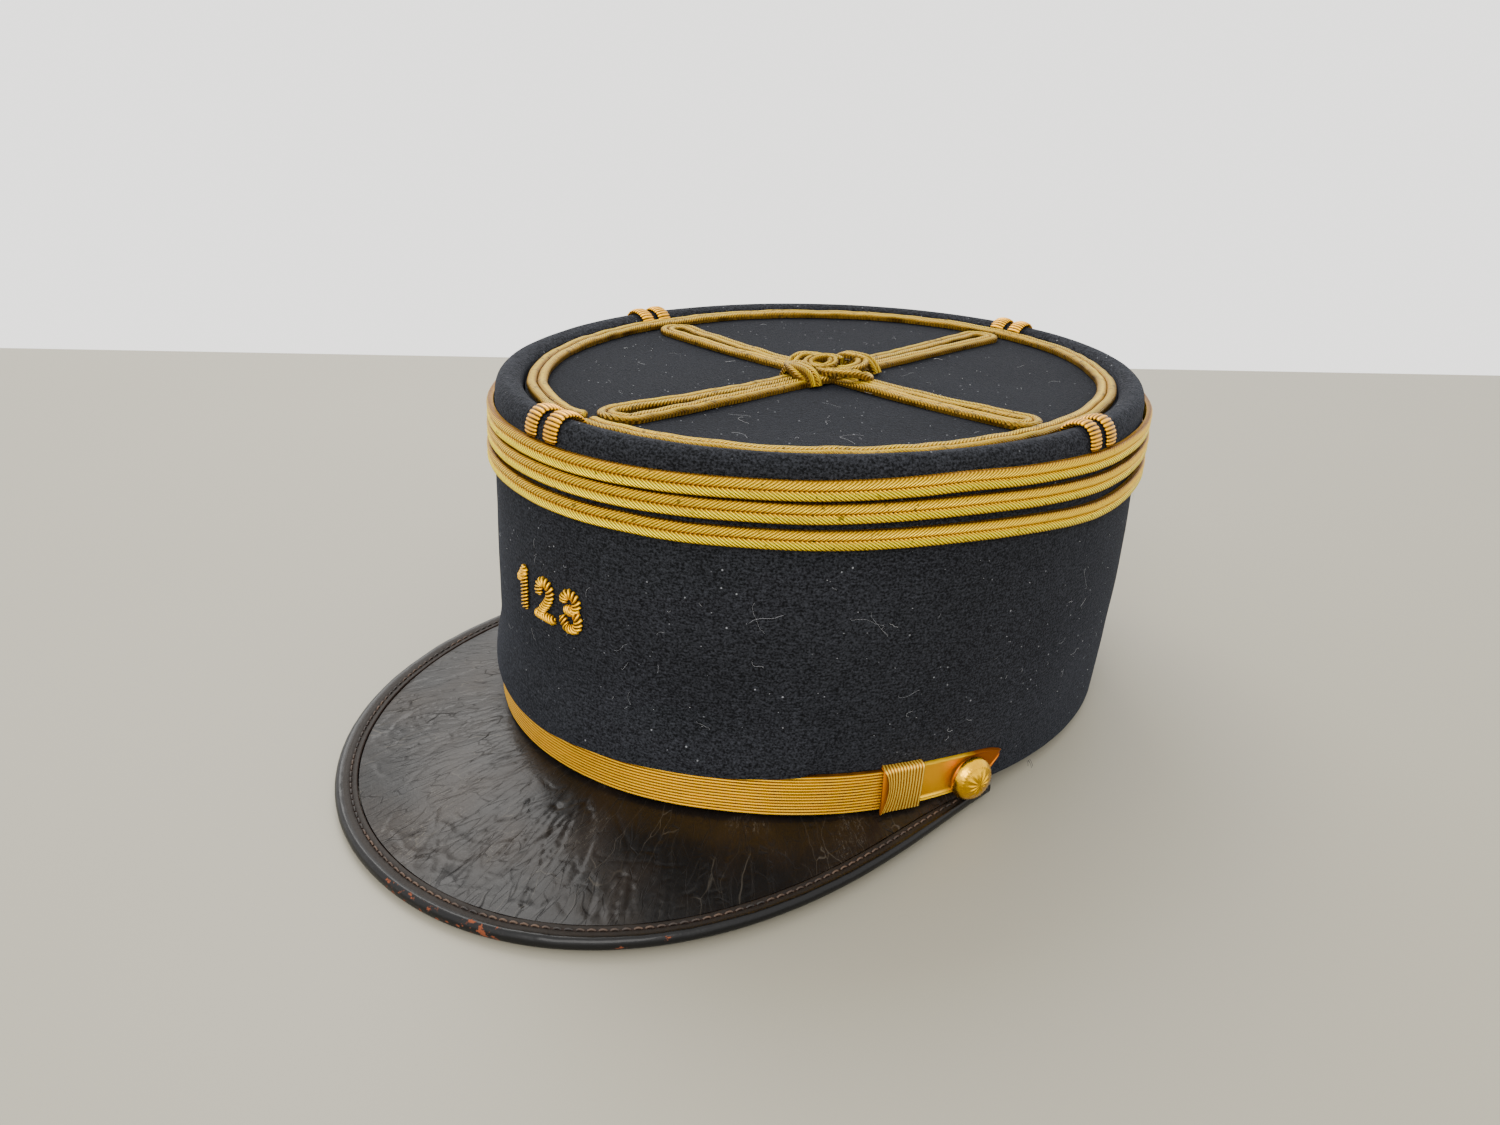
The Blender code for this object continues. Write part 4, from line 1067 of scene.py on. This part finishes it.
strap_end = angle_after(KEEPER_ANGLE, -0.5 * FIT_GAP)
strap_angles = np.linspace(-strap_end, strap_end, 300)[:, None]
share = np.linspace(0.0, 1.0, RIBBON_RIBS * 6 + 1)
ribs = np.sqrt(np.abs(np.sin(math.pi * RIBBON_RIBS * share)))
front_out = STRAP_THICK - STRAP_RIB_DEPTH * (1.0 - ribs)
front_out[[0, -1]] = 0.5 * STRAP_THICK
shares_up = np.concatenate([[0.0], share, [1.0]])
outs = np.concatenate([[0.0], front_out, [0.0]])
line, _ = crown_point(strap_angles, STRAP_RISE)
sway = swell(line, 0.030, 60.0, 0.00015) - dip(strap_angles)
ripple = swell(line, 0.012, 61.0, 0.00008)
heights = STRAP_RISE + STRAP_WIDTH * shares_up[None, :] + sway
grid, _ = crown_point(strap_angles, heights, FIT_GAP + outs[None, :] + ripple * (outs[None, :] > 0.0))
add_skin("chin_strap_ribbon", skin(grid, across=shares_up), ribbon_gold, ["chin_strap"])

# %% [markdown]
# ## Keepers
# At each end of the strap a short loop of the same ribbon wraps round it, with its ribs upright. Its
# front edge has curled away from the strap and its corners stick out, which leaves a dark gap.
# %% Two keepers
KEEPER_CURL, KEEPER_CURL_REACH, KEEPER_SHIFT = 0.0011, 0.0011, 0.0007
# How far its front edge is bent, at mid height and at the corners, and how far back that reaches
KEEPER_BEND, KEEPER_FLARE, KEEPER_BEND_REACH = 0.0014, 0.0004, 0.0040


def add_keeper(name, sign, stands_for):
    """A ribbon loop over the strap, wrapped over its upper edge."""
    inside = 2.0 * FIT_GAP + STRAP_THICK
    along = np.linspace(-0.5, 0.5, 141)[:, None]
    up = np.linspace(0.0, 1.0, 22)
    low = STRAP_RISE - dip(KEEPER_ANGLE)
    roof = low + STRAP_WIDTH + FIT_GAP
    rib = np.sqrt(np.abs(np.sin(math.pi * RIBBON_RIBS * (along + 0.5))))
    from_edge = (along + 0.5) * KEEPER_LENGTH
    curl = KEEPER_CURL * np.exp(-from_edge / KEEPER_CURL_REACH)
    bow = (2.0 * up[None, :] - 1.0) ** 2
    front = inside + KEEPER_THICK * (0.75 + 0.25 * rib) + curl * (0.35 + 0.65 * bow)
    rounded = np.sqrt(1.0 - np.clip((up - 0.93) / 0.07, 0.0, 1.0) ** 2)
    front = inside + (front - inside) * (0.35 + 0.65 * rounded[None, :])
    heights = np.concatenate([low + (roof + KEEPER_THICK - low) * up, [roof + KEEPER_THICK, roof, roof]])
    back_of = np.tile([FIT_GAP, FIT_GAP, inside], (len(along), 1))
    flare = (KEEPER_BEND * (1.0 - bow) - KEEPER_FLARE * bow) * np.exp(-from_edge / KEEPER_BEND_REACH)
    distance = along * KEEPER_LENGTH + np.concatenate([flare, np.zeros((len(along), 3))], axis=1)
    outs = np.concatenate([front, back_of, inside + 0.0 * along + curl * 0.4], axis=1)
    distance = np.concatenate([distance, along * KEEPER_LENGTH], axis=1) - KEEPER_SHIFT
    heights = np.append(heights, low)
    rate = angle_after(KEEPER_ANGLE, 0.001) - KEEPER_ANGLE
    grid, _ = crown_point(sign * (KEEPER_ANGLE + distance * rate / 0.001), heights[None, :], outs)
    across = np.tile(along + 0.5, (1, grid.shape[1]))
    made = skin(grid, across=across, along=np.zeros(len(along)))
    add_skin(name, made, keeper_gold, stands_for)


for hand, sign in HANDS:
    add_keeper(f"strap_keeper_{hand}_ribbon", sign, [f"strap_keeper_{hand}"])

# %% [markdown]
# ## Tabs
# Past the keeper the strap runs on as a smooth golden tab with corded edges, falls a little, and ends
# behind the button in a blunt point of orange leather. The columns below go round the crown; each
# has its own lower and upper edge.
# %% Two tabs
TAB_THICK, TAB_POINT, TAB_FALL, TAB_EXTRA = 0.0013, 0.0068, 0.0024, 0.0020
TAB_METRES_A_DEGREE = 0.00155
# Shares of the strap's width that the slanting cut takes off, below and above
TAB_CUT_BELOW, TAB_CUT_ABOVE = 0.66, 0.06
# Share of the width up the tab, half width and fullness of each cord
TAB_CORDS = ((0.035, 0.024, 1.0), (0.10, 0.024, 0.8), (0.972, 0.018, 0.7))
BUTTON_ANGLE, BUTTON_RISE, BUTTON_DIAMETER, BUTTON_DOME = 72.3, 0.0056, 0.0123, 0.0052


def add_tab(name, sign, stands_for):
    """The strap's end, from the keeper to a slanting cut behind the button."""
    start = angle_after(KEEPER_ANGLE, 0.5 * FIT_GAP)
    tip = angle_after(BUTTON_ANGLE, 0.5 * BUTTON_DIAMETER + 0.5 * TAB_POINT + TAB_EXTRA)
    shoulder = angle_after(tip, -TAB_POINT)
    angles = np.linspace(start, tip, 100)
    past = np.clip((angles - shoulder) / (tip - shoulder), 0.0, 1.0)
    fall = TAB_FALL * ((angles - start) / (tip - start)) ** 2
    low = STRAP_RISE - dip(angles) + STRAP_WIDTH * TAB_CUT_BELOW * past ** 1.1
    high = STRAP_RISE - dip(angles) + STRAP_WIDTH * (1.0 - TAB_CUT_ABOVE * past ** 4) - fall
    up = np.linspace(0.0, 1.0, 41)
    cords = sum(full * hump(up, place, half) for place, half, full in TAB_CORDS)
    out = TAB_THICK * (0.72 + 0.28 * cords)
    out[[0, -1]] = 0.35 * TAB_THICK
    up = np.concatenate([[0.0], up, [1.0]])
    out = np.concatenate([[0.0], out, [0.0]])
    heights = low[:, None] + (high - low)[:, None] * up[None, :]
    ends = np.maximum(round_end(angles[-1] - angles, 0.5), 0.35)[:, None]
    lifted = 0.0006 * past[:, None] ** 2 * up[None, :]
    grid, _ = crown_point(sign * angles[:, None], heights, FIT_GAP + out[None, :] * ends + lifted)
    along = (angles - start) * TAB_METRES_A_DEGREE
    add_skin(name, skin(grid, across=up, along=along), tab_leather, stands_for)


for hand, sign in HANDS:
    add_tab(f"strap_tab_{hand}_leather", sign, [f"strap_tab_{hand}"])

# %% [markdown]
# ## Buttons
# A small gilt ball button holds each end of the strap. The real one carries a badge, which is left
# off: in its place are a beaded ring and shallow plain rays, low enough to look stamped and rubbed.
# The button is turned about its own axis, so radius and height of the relief are all it needs.
# %% Two ball buttons
BUTTON_RINGS, BUTTON_SIDES, BUTTON_BEADS, BUTTON_RAYS = 44, 96, 32, 12
# Share of the height at the button's widest place, and how far round the section goes behind it
BUTTON_WAIST, BUTTON_BACK = 0.26, 38.0
# Rise, share of the radius and half width of the ring of beads, and of the rays
BEAD_RISE, BEAD_PLACE, BEAD_WIDTH = 0.00024, 0.78, 0.045
RAY_RISE, RAY_PLACE, RAY_WIDTH = 0.00030, 0.38, 0.20


def add_button(name, sign, stands_for):
    """A domed button with a low relief."""
    radius = 0.5 * BUTTON_DIAMETER
    turn = np.radians(np.linspace(-BUTTON_BACK, 89.0, BUTTON_RINGS))[None, :]
    around = np.linspace(0.0, 2.0 * math.pi, BUTTON_SIDES, endpoint=False)[:, None]
    flat = radius * np.cos(turn)
    share = flat / radius
    beads = 0.5 + 0.5 * np.cos(BUTTON_BEADS * around)
    rays = (0.5 + 0.5 * np.cos(BUTTON_RAYS * around)) ** 2
    relief = BEAD_RISE * beads * hump(share, BEAD_PLACE, BEAD_WIDTH) * (turn > 0.0)
    relief = relief + RAY_RISE * rays * hump(share, RAY_PLACE, RAY_WIDTH) * (turn > 0.0)
    behind = BUTTON_WAIST * (1.0 + np.sin(turn) / math.sin(math.radians(BUTTON_BACK)))
    dome = BUTTON_WAIST + (1.0 - BUTTON_WAIST) * np.sin(turn)
    rise = BUTTON_DOME * np.where(turn < 0.0, behind, dome)
    seat, outwards = crown_point(sign * BUTTON_ANGLE, BUTTON_RISE, 2.0 * FIT_GAP + TAB_THICK)
    aside = np.array([-outwards[1], outwards[0], 0.0])
    out = rise + relief
    grid = seat + aside * (flat * np.cos(around))[..., None] + outwards * out[..., None]
    grid[..., 2] = seat[2] + flat * np.sin(around)
    add_skin(name, skin(grid, loop=True), gilt_metal, stands_for)


for hand, sign in HANDS:
    add_button(f"side_button_{hand}_gilt", sign, [f"side_button_{hand}"])

# %% [markdown]
# ## Peak
# The peak curves down from under the crown's edge. Its outline is a share of its full reach at each
# angle. The creases run outwards from the crown. The long ones are borders between stretched cells,
# the fine ones follow the middle value of stretched noise, and both are deep enough for the mesh.
# %% The creased peak
PEAK_REACH, PEAK_HALF_ANGLE, PEAK_END_ANGLE = 0.0540, 90.0, 78.0
PEAK_ROUNDNESS, PEAK_TAPER = 2.15, 2.65
PEAK_FRONT_DROP, PEAK_SIDE_DROP, PEAK_DROP_CURVE = 0.0110, 0.0036, 2.0
PEAK_LEATHER, PEAK_ARCH, PEAK_MEAN_RADIUS = 0.0018, 1.25, 0.110
BINDING_WIDTH, BINDING_THICK, BINDING_END_THICK = 0.0060, 0.0036, 0.0022
# Seed, spacing round the crown, spacing outwards, depth and width (a share of the spacing)
CREASES = ((70.0, 0.0085, 0.030, 0.00013, 0.050), (71.0, 0.0052, 0.018, 0.00009, 0.07))
# Seed, spacing round the crown, spacing outwards, sideways slant and depth of the fine wrinkles
WRINKLES = ((73.0, 0.0044, 0.0170, 0.25, 0.00024), (75.0, 0.0026, 0.0120, -0.20, 0.00018),
            (77.0, 0.0060, 0.0060, 0.60, 0.00011))
WRINKLE_WIDTH = 0.11
# How far the long creases sway sideways, and the lengths outwards and around over which they do
SWAY, SWAY_OUT, SWAY_AROUND = 0.0035, 0.011, 0.017


def peak_share(angle):
    """How much of its full reach the peak has at an angle."""
    return (1.0 - (np.abs(angle) / PEAK_HALF_ANGLE) ** PEAK_ROUNDNESS) ** PEAK_TAPER


def binding_size(angle):
    """Width, thickness and underside height of the rolled edge at an angle."""
    share = peak_share(angle)
    room = PEAK_REACH * share - FIT_GAP
    width = BINDING_WIDTH * (1.0 - np.exp(-room / BINDING_WIDTH))
    thick = BINDING_END_THICK + (BINDING_THICK - BINDING_END_THICK) * np.sqrt(share)
    drop = PEAK_SIDE_DROP + (PEAK_FRONT_DROP - PEAK_SIDE_DROP) * share ** PEAK_DROP_CURVE
    return width, thick, -drop


def peak_point(angle, out, height):
    """A point at a distance outside the crown's base oval, at a height."""
    point, _ = crown_point(angle, 0.0, out)
    point[..., 2] = height
    return point


def crease(around, outward):
    """Depth of the leather's creases: long ones, then fine ones, with some of each left out."""
    level = np.zeros_like(around)
    for seed, across, along, depth, width in CREASES:
        bent = around + SWAY * np.sin(outward / SWAY_OUT + around / SWAY_AROUND)
        place = np.stack([bent / across, outward / along, np.full_like(outward, seed)], axis=-1)
        gaps = np.array([np.diff(noise.voronoi(Vector(p))[0][:2])[0] for p in place.reshape(-1, 3)])
        shown = ease(0.5 + 2.5 * swell(place, 1.7, seed))
        level = level - depth * shown * hump(gaps.reshape(around.shape), 0.0, width)
    for seed, across, along, slant, depth in WRINKLES:
        slanted = (around + slant * outward) / across
        place = np.stack([slanted, outward / along, np.full_like(outward, seed)], axis=-1)
        shown = ease(0.4 + 1.6 * swell(place, 3.1, seed + 1.0))
        level = level - depth * shown * hump(swell(place, 1.0, seed), 0.0, WRINKLE_WIDTH)
    soft = np.stack([around / 0.008, outward / 0.022, np.zeros_like(outward)], axis=-1)
    return level + swell(soft, 1.0, 72.0, 0.00003)


peak_angles = np.linspace(-PEAK_END_ANGLE, PEAK_END_ANGLE, 560)[:, None]
width, thick, underside = binding_size(peak_angles)
outer = PEAK_REACH * peak_share(peak_angles) - width - FIT_GAP
inner_middle = -FIT_GAP - 0.5 * PEAK_LEATHER
outer_middle = underside + 0.5 * thick
shares_out = np.linspace(0.0, 1.0, 90)[None, :]
out = np.concatenate([-CLOTH_WALL + 0.0 * outer, outer * shares_out], axis=1)
level_of = inner_middle + (outer_middle - inner_middle) * np.clip(out / outer, 0.0, 1.0) ** PEAK_ARCH
around = np.radians(peak_angles) * PEAK_MEAN_RADIUS + 0.0 * out
fade = np.clip(shares_out * 6.0, 0.0, 1.0) * np.clip((1.0 - shares_out) * 12.0, 0.0, 1.0)
fade = np.concatenate([0.0 * outer, fade * np.ones_like(outer)], axis=1)
creases = crease(around, out) * fade
upper = peak_point(peak_angles, out, level_of + 0.5 * PEAK_LEATHER + creases)
lower = peak_point(peak_angles, out, level_of - 0.5 * PEAK_LEATHER)[:, ::-9]
grid = np.concatenate([upper, lower], axis=1)
across = np.concatenate([out, out[:, ::-9]], axis=1)
add_skin("peak_leather", skin(grid, across=across), peak_leather, ["peak"])

# %% [markdown]
# ## Binding of the peak
# The binding is one closed section carried round the edge: a sewn flap on top, with a shallow
# channel for the stitches, and a round roll outside. Its wear is a number on each vertex, from a
# short table of worn stretches round the edge, all of them on the roll.
# %% The rolled edge
STITCH_SHARE = 0.30
# Angle of the middle of a worn stretch, half its length in degrees, how worn it is
WORN = ((-22.0, 4.0, 0.45), (-4.0, 2.5, 0.6), (2.5, 3.0, 0.9), (8.0, 3.5, 0.85), (14.0, 3.5, 1.0),
        (20.0, 2.0, 0.6), (26.5, 1.5, 0.95), (30.5, 1.5, 0.95), (52.0, 5.0, 0.3))


def binding_section():
    """Shares of width and thickness round the section, starting at the inner foot."""
    flap = [(0.00, 0.14), (0.00, 0.74), (0.015, 0.82), (0.05, 0.86), (0.10, 0.86), (0.20, 0.855),
            (0.26, 0.80), (0.30, 0.785), (0.34, 0.80), (0.40, 0.87), (0.50, 0.89), (0.60, 0.91),
            (0.68, 0.94)]
    turns = np.radians(np.linspace(0.0, 180.0, 15))
    roll = [(0.76 + 0.24 * math.sin(t), 0.5 + 0.5 * math.cos(t)) for t in turns]
    return np.array(flap + roll + [(0.14, 0.0)])


section = binding_section()
edge_angles = np.linspace(-PEAK_END_ANGLE, PEAK_END_ANGLE, 600)[:, None]
width, thick, underside = binding_size(edge_angles)
inner = PEAK_REACH * peak_share(edge_angles) - width
out = inner + width * section[None, :, 0]
grid = peak_point(edge_angles, out, underside + thick * section[None, :, 1])
uneven = swell(grid, 0.010, 80.0, 0.00010) + swell(grid, 0.0035, 81.0, 0.00006)
grid[..., 2] += uneven * (section[None, :, 1] > 0.3)
binding = add_skin("peak_binding_leather", skin(grid, across=section[:, 0]), binding_leather,
                   ["peak_binding"])
worn = sum(amount * hump(edge_angles, middle, half) for middle, half, amount in WORN)
worn = np.clip(worn, 0.0, 1.0) * np.clip((section[None, :, 0] - 0.60) / 0.2, 0.0, 1.0)
wear_of_vertex = binding.data.attributes.new("wear", "FLOAT", "POINT")
wear_of_vertex.data.foreach_set("value", worn.astype(np.float32).ravel())
print("Worn stretches on the binding:", len(WORN))

# %% [markdown]
# ## Stitches
# The binding is sewn down by machine: short even stitches that dip into the leather at both ends. A
# stitch is a tiny bent tube. Their places are spaced evenly along the channel, measured on the
# curve itself, because equal angles would crowd them at the sides.
# %% Stitches of the binding
STITCH_LENGTH, STITCH_PITCH, STITCH_RADIUS = 0.00175, 0.0026, 0.00025

fine_angles = np.linspace(-72.0, 72.0, 2000)
width, thick, underside = binding_size(fine_angles)
out = PEAK_REACH * peak_share(fine_angles) - width * (1.0 - STITCH_SHARE)
channel = peak_point(fine_angles, out, underside + thick * 0.86)
bend = np.linspace(-1.0, 1.0, 7)
stitches = []
for number in range(int(lengths(channel)[-1] / STITCH_PITCH)):
    middle = points_at(channel, (number + 0.5) * STITCH_PITCH + bend * 0.5 * STITCH_LENGTH)
    middle[:, 2] += STITCH_RADIUS * (0.9 - 1.5 * bend ** 2)
    stitches.append(tube(middle, STITCH_RADIUS, 6))
add_skin("binding_stitches", join(stitches), stitch_thread)
print("Stitches:", len(stitches))

# %% [markdown]
# ## Lint and loose threads
# Old wool holds dust: curled pale fibres and specks lie all over the crown, and a few dark threads
# stick out behind the button. They are thin bent tubes and small lumps, scattered by a seeded
# random generator so that every run gives the same cap.
# %% Fibres, specks and threads
random = np.random.default_rng(1914)
FIBRES, SPECKS = 190, 300
DEGREES_A_METRE = 640.0
# The lowest and highest lint on the side, and how far from the middle of the top lint lies
LINT_LOW, LINT_HIGH, LINT_REACH = 0.014, 0.070, 0.068
LEAN = (0.31, 0.17, 0.93)


def curl(length, bending, count):
    """A flat curved line that wanders as a loose fibre does."""
    heading = random.uniform(0.0, 2.0 * math.pi) + np.cumsum(random.normal(0.0, bending, count))
    heading = np.convolve(heading, np.ones(5) / 5.0, mode="same")
    step = length / count
    return np.stack([np.cumsum(np.cos(heading)), np.cumsum(np.sin(heading))], axis=-1) * step


def scatter(flat, on_side, heights, least, off):
    """Flat points laid at a random place on the crown's side, or else on its top."""
    if on_side:
        angle = random.uniform(-180.0, 180.0) + flat[:, 0] * DEGREES_A_METRE
        height = random.uniform(*heights) + flat[:, 1]
        return crown_point(angle, np.clip(height, LINT_LOW, LINT_HIGH), off)[0]
    reach = LINT_REACH * math.sqrt(random.uniform(least, 1.0))
    turn = random.uniform(0.0, 2.0 * math.pi)
    x, y = reach * math.cos(turn) + flat[:, 0], 1.1 * reach * math.sin(turn) + flat[:, 1]
    return np.stack([x, y, top_height(x, y) + off], axis=-1)


fibres = []
off = 0.00045 + 0.00025 * np.abs(np.sin(np.linspace(0.0, 3.0, 18)))
for number in range(FIBRES):
    flat = curl(0.0012 + 0.009 * random.uniform(0.0, 1.0) ** 3, 0.24, 18)
    line = scatter(flat, number % 4, (0.018, 0.066), 0.05, off)
    fibres.append(tube(line, random.uniform(0.000014, 0.000030), 3, LEAN))
add_skin("cloth_fibres", join(fibres), lint_fluff)

specks = []
for number in range(SPECKS):
    size = random.uniform(0.00005, 0.00013)
    flat = np.array([[-size, 0.0], [0.0, 0.3 * size], [size, 0.0]])
    line = scatter(flat, number % 3, (0.016, 0.068), 0.02, 0.00040 if number % 3 else 0.00035)
    specks.append(tube(line, 0.7 * size, 5, LEAN))
add_skin("cloth_specks", join(specks), lint_fluff)

threads = []
for angle, height, count in ((76.5, -0.0008, 4), (87.0, 0.0006, 4)):
    for number in range(count):
        start, outwards = crown_point(angle + random.uniform(-0.8, 0.8), height, 0.0012)
        reach = random.uniform(0.0012, 0.0028)
        share = np.linspace(0.0, 1.0, 8)[:, None]
        lean = np.array([random.uniform(-1.0, 1.0), random.uniform(-1.0, 1.0), 0.0])
        line = start + outwards * share * reach * 0.7 + lean * share ** 2 * 0.0008
        line[:, 2] -= 0.6 * reach * share[:, 0] ** 1.5
        threads.append(tube(line, 0.00007, 4, LEAN))
add_skin("loose_threads", join(threads), sewing_thread)
print("Lint:", len(fibres), "fibres,", len(specks), "specks,", len(threads), "threads")

# %% [markdown]
# ## Table and light
# The cap stands on a smooth warm grey table with a white wall behind it. The floor ends where the
# table does in the photograph, and the pale world behind it stands for the wall. The light is soft
# room light: the world gives most of it. One large lamp from behind and above shapes the folds, and
# one from the camera's right brightens the gold.
# %% Floor, world and lamps
TABLE_DEPTH = 0.684
FLOOR_WIDTH = 6.0
WORLD_LIGHT = 2.2
ROOM_LIGHT_COLOUR = (1.0, 0.98, 0.95)

heading = Vector((-level.y, level.x, 0.0))
far_edge = Vector((CAMERA_PLACE.x, CAMERA_PLACE.y, 0.0)) + heading * TABLE_DEPTH
near_edge = far_edge - heading * FLOOR_WIDTH
beside = level * FLOOR_WIDTH
floor_corners = [far_edge - beside, far_edge + beside, near_edge + beside, near_edge - beside]
floor_mesh = bpy.data.meshes.new("table_top")
floor_mesh.from_pydata([tuple(corner) for corner in floor_corners], [], [(3, 2, 1, 0)])
floor = bpy.data.objects.new("table_top", floor_mesh)
bpy.context.scene.collection.objects.link(floor)
table = Finish("warm_grey_table", Roughness=0.55)
table_colour = table.blend(table.cloud(0.30), paint(128, 124, 110), paint(134, 130, 116))
floor_mesh.materials.append(table.set(Base_Color=table_colour))

world = bpy.data.worlds.new("room")
bpy.context.scene.world = world
world.use_nodes = True
background = world.node_tree.nodes["Background"]
background.inputs["Color"].default_value = (1.0, 0.985, 0.96, 1.0)
background.inputs["Strength"].default_value = WORLD_LIGHT


def add_lamp(name, place, size, power):
    """A large square area lamp that looks at the cap."""
    lamp = bpy.data.lights.new(name, "AREA")
    lamp.size, lamp.energy, lamp.color = size, power, ROOM_LIGHT_COLOUR
    holder = bpy.data.objects.new(name, lamp)
    bpy.context.scene.collection.objects.link(holder)
    holder.location = place
    towards = Vector((0.0, 0.0, 0.05)) - Vector(place)
    holder.rotation_euler = towards.to_track_quat("-Z", "Y").to_euler()


add_lamp("window", (-0.9, 0.5, 1.3), 1.0, 30.0)
add_lamp("room", (0.7, -1.1, 0.9), 0.9, 23.0)
print("Table ends", round(1000 * TABLE_DEPTH), "mm in front of the camera")
